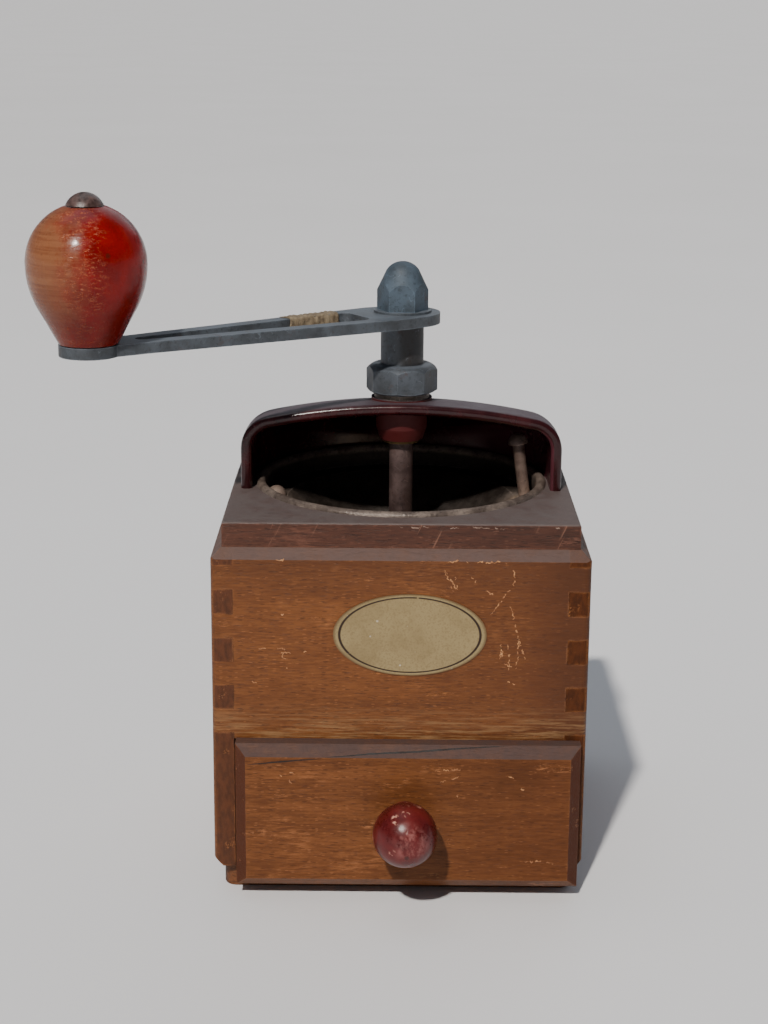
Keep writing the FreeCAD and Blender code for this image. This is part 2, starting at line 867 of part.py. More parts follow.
def toothed_cone(levels):
    fine = spiral_solid(levels[0], levels[1], FINE_TEETH, size("burr_fine_turn").number, 1)
    coarse = spiral_solid(levels[2], levels[3], COARSE_TEETH, size("burr_coarse_turn").number, 3)
    return fine.fuse(coarse)


def cylinder_shape(radius, bottom, top):
    return Part.makeCylinder(radius, top - bottom, FreeCAD.Vector(0, 0, bottom))


def make_burr_ring():
    """The outer burr: a ring whose bore is cut with coarse spiral teeth above and fine ones below."""
    ring = doc.addObject("Part::Feature", "burr_ring")
    blank = cylinder_shape(size("burr_ring_radius").number, burr_bottom.number, burr_top.number)
    bore = toothed_cone(burr_levels(1, 0, size("burr_mouth_radius").number))
    ring.Shape = blank.cut(bore)
    ring.Placement = FreeCAD.Placement()
    return ring


pin_height = burr_top + size("cone_hub_height") / 2
hub_radius = size("cone_hub_radius")


def make_cone_burr():
    """The inner burr: a toothed cone on the shaft, with a hub for its cross pin."""
    cone = doc.addObject("Part::Feature", "cone_burr")
    body = toothed_cone(burr_levels(-1, size("burr_gap").number, size("cone_tip_radius").number))
    hub_top = burr_top.number + size("cone_hub_height").number
    margin = size("cutter_margin").number
    hub = cylinder_shape(hub_radius.number, burr_top.number - margin, hub_top)
    bore_radius = size("shaft_radius").number + size("fit_clearance").number
    bore = cylinder_shape(bore_radius, burr_bottom.number - margin, hub_top + margin)
    pin_radius = size("cone_pin_radius").number + size("fit_clearance").number
    start = FreeCAD.Vector(-2 * hub_radius.number, 0, pin_height.number)
    pin_hole = Part.makeCylinder(pin_radius, 4 * hub_radius.number, start, FreeCAD.Vector(1, 0, 0))
    cone.Shape = body.fuse(hub).cut(bore).cut(pin_hole)
    cone.Placement = FreeCAD.Placement()
    return cone


def make_cone_pin():
    pin = rod("cone_pin", size("cone_pin_radius"), hub_radius * 2, -hub_radius, 0, pin_height)
    pin.Placement.Rotation = FreeCAD.Rotation(FreeCAD.Vector(0, 1, 0), 90)
    return pin


def make_lower_bridge():
    """A bar across the mouth below the burrs, which guides the shaft's lower end."""
    body = new_body("lower_bridge")
    bar = new_sketch(body, "XY_Plane", housing_bottom - size("bridge_thickness"))
    half = size("bridge_width") / 2
    reach = bridge_screw_place
    tip = reach + half
    right_end = [(reach, -half), (tip, 0, half), (reach, half, half)]
    left_end = [(-reach, half), (-tip, 0, half), (-reach, -half, half)]
    outline(bar, right_end + left_end)
    circle(bar, 0, 0, size("journal_radius") + size("running_clearance"))
    for x in (reach, -reach):
        circle(bar, x, 0, size("bridge_screw_radius") + size("fit_clearance"))
    pad(body, bar, size("bridge_thickness"))
    return body


def make_bridge_screws():
    screws = []
    bottom = housing_bottom - size("bridge_thickness")
    head = size("bridge_screw_head_height")
    for x in (bridge_screw_place, -bridge_screw_place):
        length = size("bridge_screw_length")
        stem = rod("bridge_screw_stem", size("bridge_screw_radius"), length, x, 0, bottom)
        cap = rod("bridge_screw_cap", size("bridge_screw_head_radius"), head, x, 0, bottom - head)
        screws.append(merged("bridge_screw", [stem, cap]))
    return grouped("bridge_screws", screws)


def make_bolt():
    """A round-headed bolt, standing on its own origin under the head."""
    stem = rod("bolt_stem", size("bolt_radius"), size("bolt_length"), 0, 0, -size("bolt_length"))
    head = doc.addObject("Part::Sphere", "bolt_head")
    bind(head, "Radius", size("bolt_head_radius"))
    head.Angle1 = 0
    return merged("mechanism_bolt", [stem, head])


def make_mechanism_bolts():
    """The left bolt is home on its seat; the right one has worked loose, stands proud and leans in."""
    seated = place(make_bolt(), -size("bolt_circle_radius"), 0, seat_top)
    loose = make_bolt()
    loose.Placement.Rotation = FreeCAD.Rotation(FreeCAD.Vector(0, -1, 0), lean.number)
    rise = size("loose_bolt_rise")
    head_x = size("bolt_circle_radius") - rise * sine(lean)
    place(loose, head_x, 0, seat_top - bowl_sheet / 2 + rise * cosine(lean))
    bind(loose, "Placement.Rotation.Angle", lean)
    return grouped("mechanism_bolts", [seated, loose])


def make_mechanism_nuts():
    nuts = []
    height = size("mechanism_nut_height")
    bottom = ear_bottom - height
    for x in (size("bolt_circle_radius"), -size("bolt_circle_radius")):
        prism = doc.addObject("Part::Prism", "mechanism_nut_blank")
        prism.Polygon = HEX_SIDES
        bind(prism, "Circumradius", corner_radius_of(size("mechanism_nut_flats"), HEX_SIDES))
        bind(prism, "Height", height)
        place(prism, x, 0, bottom)
        bore = rod("mechanism_nut_bore", size("bolt_radius") + size("fit_clearance"), height, x, 0, bottom)
        nuts.append(without("mechanism_nut", prism, bore))
    return grouped("mechanism_nuts", nuts)


# Shaft, bearing and crank
def make_drive_shaft():
    """A turned shaft: journal below, round body, a square for the crank arm and a thread for the cap nut."""
    body = new_body("drive_shaft")
    profile = new_sketch(body, "XZ_Plane")
    journal_bottom = housing_bottom - size("bridge_thickness") - size("journal_overhang")
    square_bottom = arm_bottom - size("shaft_square_below_arm")
    square_top = arm_top - size("shaft_square_below_top")
    thread_top = cap_bottom + size("shaft_thread_length")
    radius = size("shaft_radius")
    outline(profile, [
        (0, journal_bottom),
        (size("journal_radius"), journal_bottom),
        (size("journal_radius"), burr_bottom),
        (radius, burr_bottom),
        (radius, square_bottom),
        (size("shaft_thread_radius"), square_bottom),
        (size("shaft_thread_radius"), thread_top),
        (0, thread_top),
    ])
    turned(body, profile)
    square = new_sketch(body, "XY_Plane", square_bottom)
    polygon(square, size("shaft_square"), 4, size("arm_direction") + 45)
    pad(body, square, square_top - square_bottom)
    pin_hole = new_sketch(body, "YZ_Plane", radius * 2)
    circle(pin_hole, 0, pin_height, size("cone_pin_radius") + size("fit_clearance"))
    pocket(body, pin_hole)
    return body


def make_shaft_bush():
    """A flanged sleeve pressed into the hood's boss."""
    body = new_body("shaft_bush")
    profile = new_sketch(body, "XZ_Plane")
    bore = size("shaft_radius") + size("running_clearance")
    boss_bottom = crown_top - size("hood_wall") - size("hood_boss_depth")
    flange_bottom = boss_bottom - size("bush_flange_thickness")
    sleeve = size("bush_radius") - size("fit_clearance")
    outline(profile, [
        (bore, flange_bottom),
        (size("bush_flange_radius"), flange_bottom),
        (size("bush_flange_radius"), boss_bottom),
        (sleeve, boss_bottom),
        (sleeve, pad_top),
        (bore, pad_top),
    ])
    turned(body, profile)
    return body


def make_washer(label, radius, bore, thickness, bottom):
    body = new_body(label)
    ring = new_sketch(body, "XY_Plane", bottom)
    circle(ring, 0, 0, radius)
    circle(ring, 0, 0, bore)
    pad(body, ring, thickness)
    return body


def make_adjusting_nut():
    """An eight-sided nut with a domed shoulder and a long round neck that carries the crank arm."""
    body = new_body("adjusting_nut")
    flats = size("adjuster_flats")
    corner = corner_radius_of(flats, ADJUSTER_SIDES) + size("cutter_margin")
    sides = new_sketch(body, "XY_Plane", adjuster_bottom)
    polygon(sides, flats, ADJUSTER_SIDES, size("adjuster_turn"))
    pad(body, sides, size("adjuster_height"))
    shoulder = new_sketch(body, "XZ_Plane")
    outline(shoulder, [
        (size("adjuster_shoulder_radius"), adjuster_top, size("adjuster_shoulder_curve")),
        (corner, adjuster_top),
        (corner, adjuster_top - size("adjuster_shoulder_height")),
    ])
    turned(body, shoulder, cut=True)
    foot = new_sketch(body, "XZ_Plane")
    outline(foot, [
        (corner - size("adjuster_chamfer_width"), adjuster_bottom),
        (corner, adjuster_bottom),
        (corner, adjuster_bottom + size("adjuster_chamfer_height")),
    ])
    turned(body, foot, cut=True)
    neck = new_sketch(body, "XY_Plane", adjuster_top - size("adjuster_shoulder_height"))
    circle(neck, 0, 0, size("adjuster_neck_radius"))
    pad(body, neck, size("adjuster_neck_length") + size("adjuster_shoulder_height"))
    bore = new_sketch(body, "XY_Plane", neck_top)
    circle(bore, 0, 0, size("shaft_radius") + size("running_clearance"))
    pocket(body, bore)
    return body


# The arm lies along its own X axis from the shaft to the knob, and is turned to its rest direction
def place_on_arm(feature, along, height):
    direction = size("arm_direction")
    feature.Placement.Rotation = FreeCAD.Rotation(FreeCAD.Vector(0, 0, 1), direction.number)
    place(feature, along * cosine(direction), along * sine(direction), height)
    bind(feature, "Placement.Rotation.Angle", direction)
    return feature


def arm_half_width(along):
    """Half the arm's width at a distance from the shaft, on its straight taper."""
    fall = (size("arm_wide_half") - size("arm_narrow_half")) / (size("arm_narrow_at") - size("arm_wide_at"))
    return size("arm_wide_half") - fall * (along - size("arm_wide_at"))


def make_crank_arm():
    """A tapered flat arm with a long slot, a square eye on the shaft and a round disc under the knob."""
    body = new_body("crank_arm")
    length = size("arm_length")
    blade = new_sketch(body, "XY_Plane")
    far_side = [
        (0, size("arm_eye_radius")),
        (size("arm_wide_at"), size("arm_wide_half")),
        (size("arm_narrow_at"), size("arm_narrow_half")),
        (length, size("arm_narrow_half")),
    ]
    near_side = [(x, -y) for x, y in reversed(far_side)]
    outline(blade, far_side + near_side)
    pad(body, blade, size("arm_thickness"))
    for x, radius in ((as_size(0), size("arm_eye_radius")), (length, size("arm_disc_radius"))):
        round_end = new_sketch(body, "XY_Plane")
        circle(round_end, x, 0, radius)
        pad(body, round_end, size("arm_thickness"))
    slot = new_sketch(body, "XY_Plane", size("arm_thickness"))
    start = size("arm_slot_start")
    finish = size("arm_slot_end")
    bar = size("arm_bar_width")
    corner = size("arm_slot_corner")
    wide = arm_half_width(start + corner) - bar
    narrow = arm_half_width(finish) - bar
    outline(slot, [
        (start, corner - wide),
        (start + corner, -wide, corner),
        (finish, -narrow),
        (finish + narrow, 0, narrow),
        (finish, narrow, narrow),
        (start + corner, wide),
        (start, wide - corner, corner),
    ])
    pocket(body, slot)
    eye = new_sketch(body, "XY_Plane", size("arm_thickness"))
    polygon(eye, size("shaft_square") + size("running_clearance") * 2, 4, as_size(45))
    circle(eye, length, 0, size("spindle_radius") + size("fit_clearance"))
    pocket(body, eye)
    return place_on_arm(body, as_size(0), arm_bottom)


def make_arm_wrap():
    """A band of tape wound round the far bar of the arm."""
    body = new_body("arm_wrap")
    film = size("wrap_thickness")
    start = size("wrap_start")
    finish = start + size("wrap_length")
    bar = size("arm_bar_width")

    def band(sketch, margin, low, high):
        corners = [(low, -arm_half_width(low) - margin), (high, -arm_half_width(high) - margin)]
        corners += [(high, bar - arm_half_width(high) + margin), (low, bar - arm_half_width(low) + margin)]
        outline(sketch, corners)

    outside = new_sketch(body, "XY_Plane", -film)
    band(outside, film, start, finish)
    pad(body, outside, size("arm_thickness") + film * 2)
    inside = new_sketch(body, "XY_Plane", size("arm_thickness"))
    band(inside, as_size(0), start - film, finish + film)
    pocket(body, inside, size("arm_thickness"))
    return place_on_arm(body, as_size(0), arm_bottom)


def make_cap_nut():
    """A hexagon that runs up into a rounded cone, closed over the shaft's thread."""
    body = new_body("cap_nut")
    flats = size("cap_nut_flats")
    height = size("cap_nut_height")
    corner = corner_radius_of(flats, HEX_SIDES) + size("cutter_margin")
    sides = new_sketch(body, "XY_Plane")
    polygon(sides, flats, HEX_SIDES, size("cap_nut_turn"))
    pad(body, sides, height)
    cone = new_sketch(body, "XZ_Plane")
    outline(cone, [
        (0, height),
        (size("cap_nut_shoulder_radius"), size("cap_nut_shoulder_height"), -size("cap_nut_dome_radius")),
        (corner, size("cap_nut_hex_height")),
        (corner, height + size("cutter_margin")),
        (0, height + size("cutter_margin")),
    ])
    turned(body, cone, cut=True)
    thread = new_sketch(body, "XY_Plane")
    circle(thread, 0, 0, size("shaft_thread_radius") + size("running_clearance"))
    pocket(body, thread, size("shaft_thread_length") + size("cap_nut_end_gap"), reverse=True)
    return place(body, 0, 0, cap_bottom)


def upright_arc_radius(across, along):
    """Radius of an arc that stands upright at one end and comes in by the first distance at the other."""
    return (across * across + along * along) / (across * 2)


def make_crank_knob():
    """A turned pear: straight flanks from the foot, a full belly and a round top."""
    body = new_body("crank_knob")
    profile = new_sketch(body, "XZ_Plane")
    bore = size("spindle_radius") + size("running_clearance")
    widest = size("knob_radius")
    belly = size("knob_widest_height")
    below = upright_arc_radius(widest - size("knob_flank_radius"), belly - size("knob_flank_height"))
    above = upright_arc_radius(widest - size("knob_top_radius"), size("knob_height") - belly)
    outline(profile, [
        (bore, 0),
        (size("knob_base_radius"), 0),
        (size("knob_flank_radius"), size("knob_flank_height")),
        (widest, belly, below),
        (size("knob_top_radius"), size("knob_height"), above),
        (bore, size("knob_height")),
    ])
    turned(body, profile)
    return place_on_arm(body, size("arm_length"), arm_top + size("knob_base_gap"))


def make_knob_spindle():
    """A rivet through the arm's disc and the knob, with a domed head above and its own rivet below."""
    body = new_body("knob_spindle")
    profile = new_sketch(body, "XZ_Plane")
    rivet = size("spindle_rivet_radius")
    cap = size("spindle_cap_radius")
    cap_height = size("spindle_cap_height")
    cap_at = size("arm_thickness") + size("knob_base_gap") + size("knob_height") + size("spindle_cap_gap")
    outline(profile, [
        (0, -size("spindle_rivet_height")),
        (rivet, 0, dome_radius(rivet, size("spindle_rivet_height"))),
        (size("spindle_radius"), 0),
        (size("spindle_radius"), cap_at),
        (cap, cap_at),
        (0, cap_at + cap_height, dome_radius(cap, cap_height)),
    ])
    turned(body, profile)
    return place_on_arm(body, size("arm_length"), arm_bottom)


# Drawer
drawer_face = half_depth + size("drawer_front_gap")
drawer_half_width = inner_half_width - size("drawer_side_clearance")
drawer_floor = base_top + size("drawer_floor_gap")
drawer_rim = drawer_floor + size("drawer_side_height")
drawer_end = size("drawer_length") - drawer_face
drawer_board = size("drawer_wall_thickness")


def make_drawer_front():
    """An overlay board, bevelled all round, that hides the opening and the edge of the base."""
    body = new_body("drawer_front")
    board = new_sketch(body, "XZ_Plane", drawer_face)
    half = size("drawer_front_width") / 2
    shift = size("drawer_front_shift")
    bottom = size("drawer_front_bottom")
    rectangle(board, shift - half, shift + half, bottom, bottom + size("drawer_front_height"))
    pad(body, board, size("drawer_front_thickness"))
    screw_hole = new_sketch(body, "XZ_Plane", drawer_face + size("drawer_front_thickness"))
    screw_gap = size("drawer_screw_radius") + size("fit_clearance")
    circle(screw_hole, size("drawer_knob_offset"), size("drawer_knob_height"), screw_gap)
    pocket(body, screw_hole)
    face = -drawer_face - size("drawer_front_thickness")
    edges = edges_at(body, y=face, z=bottom) + edges_at(body, y=face, z=bottom + size("drawer_front_height"))
    edges += edges_at(body, y=face, x=shift - half) + edges_at(body, y=face, x=shift + half)
    dressed(body, "Chamfer", edges, size("drawer_front_chamfer"))
    return body


def make_drawer_box():
    """Two sides, a back and a bottom, butted together behind the front."""
    inner = drawer_half_width - drawer_board
    back_start = drawer_end - drawer_board
    bottom_top = drawer_floor + size("drawer_bottom_thickness")
    outer = drawer_half_width
    boards = {
        "drawer_left_side": ((-outer, -drawer_face, drawer_floor), (-inner, drawer_end, drawer_rim)),
        "drawer_right_side": ((inner, -drawer_face, drawer_floor), (outer, drawer_end, drawer_rim)),
        "drawer_back": ((-inner, back_start, drawer_floor), (inner, drawer_end, drawer_rim)),
        "drawer_bottom": ((-inner, -drawer_face, drawer_floor), (inner, back_start, bottom_top)),
    }
    return [(block(label, low, high), label) for label, (low, high) in boards.items()]


def place_on_drawer(feature):
    """Turns a piece made along Z so that it points out of the drawer front, at the knob's place."""
    feature.Placement.Rotation = FreeCAD.Rotation(FreeCAD.Vector(1, 0, 0), 90)
    front = -drawer_face - size("drawer_front_thickness")
    return place(feature, size("drawer_knob_offset"), front, size("drawer_knob_height"))


def make_drawer_knob():
    body = new_body("drawer_knob")
    profile = new_sketch(body, "XZ_Plane")
    ball = size("drawer_knob_radius")
    neck = size("drawer_knob_neck_radius")
    centre = size("drawer_knob_reach")
    meeting = centre - root_of(ball * ball - neck * neck)
    bore = size("drawer_screw_radius") + size("fit_clearance")
    depth = size("drawer_screw_length") - size("drawer_front_thickness") + size("fit_clearance")
    outline(profile, [
        (bore, 0),
        (neck, 0),
        (neck, meeting),
        (ball, centre, ball),
        (0, centre + ball, ball),
        (0, depth),
        (bore, depth),
    ])
    turned(body, profile)
    return place_on_drawer(body)


def make_drawer_knob_screw():
    body = new_body("drawer_knob_screw")
    profile = new_sketch(body, "XZ_Plane")
    shank = size("drawer_screw_radius")
    head = size("drawer_screw_head_radius")
    board_back = -size("drawer_front_thickness")
    tip = size("drawer_screw_length") - size("drawer_front_thickness")
    outline(profile, [
        (0, board_back - size("drawer_screw_head_thickness")),
        (head, board_back - size("drawer_screw_head_thickness")),
        (head, board_back),
        (shank, board_back),
        (shank, tip),
        (0, tip),
    ])
    turned(body, profile)
    return place_on_drawer(body)


def make_base_nails():
    nails = []
    head = size("nail_head_thickness")
    for x, y in nail_places():
        stem = rod("base_nail_stem", size("nail_radius"), size("nail_length"), x, y, 0)
        cap = rod("base_nail_cap", size("nail_head_radius"), head, x, y, 0)
        nails.append(merged("base_nail", [stem, cap]))
    return grouped("base_nails", nails)


def make_label_plate():
    """A bare oval plate on the front panel."""
    oval = doc.addObject("Part::Ellipse", "label_oval")
    bind(oval, "MajorRadius", size("label_width") / 2)
    bind(oval, "MinorRadius", size("label_height") / 2)
    plate = doc.addObject("Part::Extrusion", "label_plate")
    plate.Base = oval
    plate.DirMode = "Normal"
    plate.Solid = True
    bind(plate, "LengthFwd", size("label_thickness"))
    plate.Placement.Rotation = FreeCAD.Rotation(FreeCAD.Vector(1, 0, 0), 90)
    return place(plate, size("label_offset"), -half_depth, size("label_centre_height"))


# The whole grinder
keep(make_base_board(), "base_board")
keep(make_base_nails(), "base_nails")
keep(make_side_panel("left_side", -1), "left_side")
keep(make_side_panel("right_side", 1), "right_side")
keep(make_face_panel("front_panel", -inner_half_depth, -half_depth, front_bottom, False), "front_panel")
keep(make_face_panel("back_panel", inner_half_depth, half_depth, base_top, True), "back_panel")
keep(make_top_board(), "top_board")
keep(make_label_plate(), "label_plate")
keep(make_hopper_bowl(), "hopper_bowl")
keep(make_hood(), "hood")
keep(make_hood_screws(), "hood_screws")
keep(make_mechanism_bolts(), "mechanism_bolts")
keep(make_mechanism_nuts(), "mechanism_nuts")
keep(make_burr_housing(), "burr_housing")
keep(make_burr_ring(), "burr_ring")
keep(make_lower_bridge(), "lower_bridge")
keep(make_bridge_screws(), "bridge_screws")
keep(make_cone_burr(), "cone_burr")
keep(make_cone_pin(), "cone_pin")
keep(make_drive_shaft(), "drive_shaft")
keep(make_shaft_bush(), "shaft_bush")
shaft_hole_radius = size("shaft_radius") + size("running_clearance")
thrust_washer = make_washer(
    "thrust_washer", size("thrust_washer_radius"), shaft_hole_radius, size("thrust_washer_thickness"), pad_top
)
keep(thrust_washer, "thrust_washer")
keep(make_adjusting_nut(), "adjusting_nut")
keep(make_crank_arm(), "crank_arm")
keep(make_arm_wrap(), "arm_wrap")
arm_washer = make_washer(
    "arm_washer", size("arm_washer_radius"), shaft_hole_radius, size("arm_washer_thickness"), arm_top
)
keep(arm_washer, "arm_washer")
keep(make_cap_nut(), "cap_nut")
keep(make_crank_knob(), "crank_knob")
keep(make_knob_spindle(), "knob_spindle")
keep(make_drawer_front(), "drawer_front")
for board, board_label in make_drawer_box():
    keep(board, board_label)
keep(make_drawer_knob(), "drawer_knob")
keep(make_drawer_knob_screw(), "drawer_knob_screw")

doc.recompute()
failed = [item.Label for item in doc.Objects if "Invalid" in item.State or "Error" in item.State]
failed += [item.Label for item in parts if item.Shape.isNull() or not item.Shape.isValid()]
if failed:
    raise RuntimeError(f"these did not build: {sorted(set(failed))}")

os.makedirs("parts", exist_ok=True)
for item in parts:
    item.Shape.exportStep(f"parts/{item.Label}.step")
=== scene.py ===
import math

import bpy
from mathutils import Matrix, Vector


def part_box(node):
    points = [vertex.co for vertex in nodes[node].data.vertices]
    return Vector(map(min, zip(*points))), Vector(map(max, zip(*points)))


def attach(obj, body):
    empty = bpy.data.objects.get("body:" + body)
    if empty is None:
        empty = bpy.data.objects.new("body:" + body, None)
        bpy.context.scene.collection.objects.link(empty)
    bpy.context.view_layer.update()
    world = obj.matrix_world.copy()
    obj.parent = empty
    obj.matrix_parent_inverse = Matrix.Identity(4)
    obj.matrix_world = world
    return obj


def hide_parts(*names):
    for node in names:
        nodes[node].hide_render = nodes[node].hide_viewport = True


# Looks of a hand crank coffee grinder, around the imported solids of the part
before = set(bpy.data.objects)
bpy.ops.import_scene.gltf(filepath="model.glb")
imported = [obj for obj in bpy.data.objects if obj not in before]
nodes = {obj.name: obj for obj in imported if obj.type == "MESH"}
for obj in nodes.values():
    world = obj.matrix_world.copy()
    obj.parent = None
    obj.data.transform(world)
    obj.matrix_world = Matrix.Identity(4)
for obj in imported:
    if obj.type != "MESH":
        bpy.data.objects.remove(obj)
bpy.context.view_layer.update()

MILLIMETRE = 0.001

# Where a look fades in or out, from and to, in metres in the part's frame
FRONT_LOW_EDGE = (0.0535, 0.067)
FRONT_TOP_EDGE = (0.096, 0.111)
FRONT_TO_RIGHT = (-0.03, 0.055)
FRONT_RIGHT_EDGE = (0.034, 0.055)
FINGERS_TOP = (0.1105, 0.1115)
HOOD_LIP_BACK = (-0.0138, -0.0118)
HOOD_RIGHT_HALF = (0.005, 0.02)
HOOD_BOSS_RADIUS = (0.0095, 0.0125)
NECK_RADIUS = (0.0075, 0.0081)
NECK_RIGHT_HALF = (-0.001, 0.003)
GRIP_LOW_END = (0.17, 0.194)
GRIP_NEAR_ARM = (0.188, 0.206)
BOWL_BELOW_RIM = (0.1225, 0.1242)
BOWL_BACK_HALF = (0.0, 0.012)
BOWL_RIGHT_HALF = (0.004, 0.012)
BOWL_FRONT_HALF = (-0.004, 0.004)
# The same for the product of x and y, in square metres, which grows towards the case's corners
CORNER_PRODUCT = (0.00325, 0.0034)

# Screen colours, from 0 to 255
PALE_WOOD = (119, 71, 34)
DARK_WOOD = (90, 50, 22)
END_WOOD = (92, 51, 25)
CASE_WOOD = (PALE_WOOD, DARK_WOOD, END_WOOD)
LEFT_WOOD = (PALE_WOOD, DARK_WOOD, (86, 47, 24))
# The right side's end grain is darker: painted shade, as the light falls off to the right
RIGHT_WOOD_SHADED_ENDS = (PALE_WOOD, DARK_WOOD, (78, 41, 19))
BASE_WOOD = ((110, 66, 36), (74, 42, 22), (66, 37, 20))
BOARD_WOOD = ((84, 50, 37), (60, 35, 26), (50, 29, 21))
DRAWER_WOOD = ((118, 72, 40), (88, 51, 27), END_WOOD)
BOX_WOOD = ((176, 136, 92), (146, 106, 68), (120, 84, 52))
FLAKED_WOOD = ((190, 138, 92), (132, 82, 46))
FLAKED_BOARD = ((150, 126, 112), (104, 82, 70))
OPEN_CRACK = ((26, 14, 9), (10, 5, 3))
DUST = (87, 71, 67)
BOARD_DUST = (90, 80, 78)
DRAWER_DUST = (75, 60, 57)
RUST = (78, 48, 32)
# Painted shadow on the adjusting nut's neck
NECK_SHADOW = (24, 18, 13)


def colour(red, green, blue):
    """A screen colour, from 0 to 255, as linear light."""
    channels = []
    for value in (red, green, blue):
        value /= 255
        channels.append(value / 12.92 if value <= 0.04045 else ((value + 0.055) / 1.055) ** 2.4)
    return (*channels, 1)


def tinted(tint, factor, more=0):
    """A screen colour made lighter or darker, as linear light."""
    return colour(*[min(255, factor * value + more) for value in tint])


def centre_of(box):
    return [(first + last) / 2 for first, last in zip(*box)]


def added(name, data):
    """A new object of the scene that shows the given data."""
    shown = bpy.data.objects.new(name, data)
    bpy.context.scene.collection.objects.link(shown)
    return shown


class Finish:
    """A procedural material in the coordinates of the part's frame."""

    def __init__(self, name, shift=0.0):
        """The shift moves the patterns, so that pieces of one kind differ."""
        self.material = bpy.data.materials.new(name)
        self.material.use_nodes = True
        self.nodes = self.material.node_tree.nodes
        self.links = self.material.node_tree.links
        self.shader = self.nodes["Principled BSDF"]
        coordinates = self.nodes.new("ShaderNodeTexCoord")
        self.normal = coordinates.outputs["Normal"]
        self.origin = coordinates.outputs["Object"]
        self.place = self.vector("ADD", self.origin, (shift, 2 * shift, 3 * shift))

    def wire(self, socket, value):
        """Gives a socket a link or a fixed value."""
        if isinstance(value, bpy.types.NodeSocket):
            self.links.new(value, socket)
        else:
            socket.default_value = value

    def math(self, operation, first, second=0.0):
        node = self.nodes.new("ShaderNodeMath")
        node.operation = operation
        self.wire(node.inputs[0], first)
        self.wire(node.inputs[1], second)
        return node.outputs[0]

    def vector(self, operation, first, second=(0, 0, 0)):
        node = self.nodes.new("ShaderNodeVectorMath")
        node.operation = operation
        self.wire(node.inputs[0], first)
        self.wire(node.inputs[1], second)
        return node.outputs["Value" if operation in ("DOT_PRODUCT", "LENGTH", "DISTANCE") else "Vector"]

    def along(self, vector, axis):
        node = self.nodes.new("ShaderNodeSeparateXYZ")
        self.wire(node.inputs[0], vector)
        return node.outputs["xyz".index(axis)]

    def at(self, axis):
        """The place along an axis of the part's frame."""
        return self.along(self.origin, axis)

    def facing(self, axis):
        """How much the surface faces along an axis."""
        return self.along(self.normal, axis)

    def off_axis(self):
        """The distance from the shaft's axis."""
        return self.vector("LENGTH", self.vector("MULTIPLY", self.origin, (1, 1, 0)))

    def noise(self, factors, detail=4.0, roughness=0.55, distortion=0.0):
        """Cloudy noise, with factors that say how fine it is along each axis, per metre."""
        node = self.nodes.new("ShaderNodeTexNoise")
        self.wire(node.inputs["Vector"], self.vector("MULTIPLY", self.place, factors))
        node.inputs["Scale"].default_value = 1
        node.inputs["Detail"].default_value = detail
        node.inputs["Roughness"].default_value = roughness
        node.inputs["Distortion"].default_value = distortion
        return node.outputs["Fac"]

    def cells(self, factors, feature="F1"):
        node = self.nodes.new("ShaderNodeTexVoronoi")
        node.feature = feature
        self.wire(node.inputs["Vector"], self.vector("MULTIPLY", self.place, factors))
        node.inputs["Scale"].default_value = 1
        return node

    def ramp(self, value, low, high, first=0.0, last=1.0):
        """A smooth step from the first to the last number while the value goes from low to high."""
        node = self.nodes.new("ShaderNodeMapRange")
        node.interpolation_type = "SMOOTHSTEP"
        for name, number in (("From Min", low), ("From Max", high), ("To Min", first), ("To Max", last)):
            node.inputs[name].default_value = number
        self.wire(node.inputs["Value"], value)
        return node.outputs["Result"]

    def mix(self, first, second, share):
        node = self.nodes.new("ShaderNodeMix")
        node.data_type = "RGBA"
        self.wire(node.inputs[0], share)
        self.wire(node.inputs[6], first)
        self.wire(node.inputs[7], second)
        return node.outputs[2]

    def both(self, first, second):
        return self.math("MULTIPLY", first, second)

    def specks(self, factors, size, share):
        """Marks in some of the cells of a scattered pattern."""
        cells = self.cells(factors)
        inside = self.ramp(cells.outputs["Distance"], size * 0.6, size, 1, 0)
        chosen = self.along(cells.outputs["Color"], "x")
        return self.both(inside, self.ramp(chosen, 1 - share, 1 - share * 0.6))

    def hairlines(self, factors, width, share):
        """Thin wandering lines, kept only in patches."""
        wander = self.noise(factors, detail=1.5, roughness=0.4)
        off = self.math("ABSOLUTE", self.math("SUBTRACT", wander, 0.5))
        line = self.ramp(off, 0, width, 1, 0)
        patches = self.noise(tuple(3 * factor for factor in factors), detail=1)
        return self.both(line, self.ramp(patches, 1 - share, 1.08 - share))

    def edges(self, radius):
        """Marks what lies within a radius of a sharp edge."""
        rounded = self.nodes.new("ShaderNodeBevel")
        rounded.samples = 4
        rounded.inputs["Radius"].default_value = radius
        true_normal = self.nodes.new("ShaderNodeNewGeometry").outputs["Normal"]
        turned = self.vector("DOT_PRODUCT", rounded.outputs["Normal"], true_normal)
        return self.ramp(turned, 0.8, 0.995, 1, 0)

    def up(self, low, high, first=0.0, last=1.0):
        """A step on how much the surface faces upwards."""
        return self.ramp(self.facing("z"), low, high, first, last)

    def done(self, base, roughness, height=None, depth=0.0, **constants):
        """The finished material, with the height as a bump of the given depth in metres."""
        self.wire(self.shader.inputs["Base Color"], base)
        self.wire(self.shader.inputs["Roughness"], roughness)
        for name, value in constants.items():
            self.shader.inputs[name.replace("_", " ")].default_value = value
        if height is not None:
            bump = self.nodes.new("ShaderNodeBump")
            bump.inputs["Distance"].default_value = depth
            self.wire(bump.inputs["Height"], height)
            self.wire(self.shader.inputs["Normal"], bump.outputs["Normal"])
        return self.material


def grained(grain, lengthwise, crosswise):
    """Factors of a pattern that is drawn out along the grain's axis."""
    return tuple(lengthwise if axis == grain else crosswise for axis in "xyz")


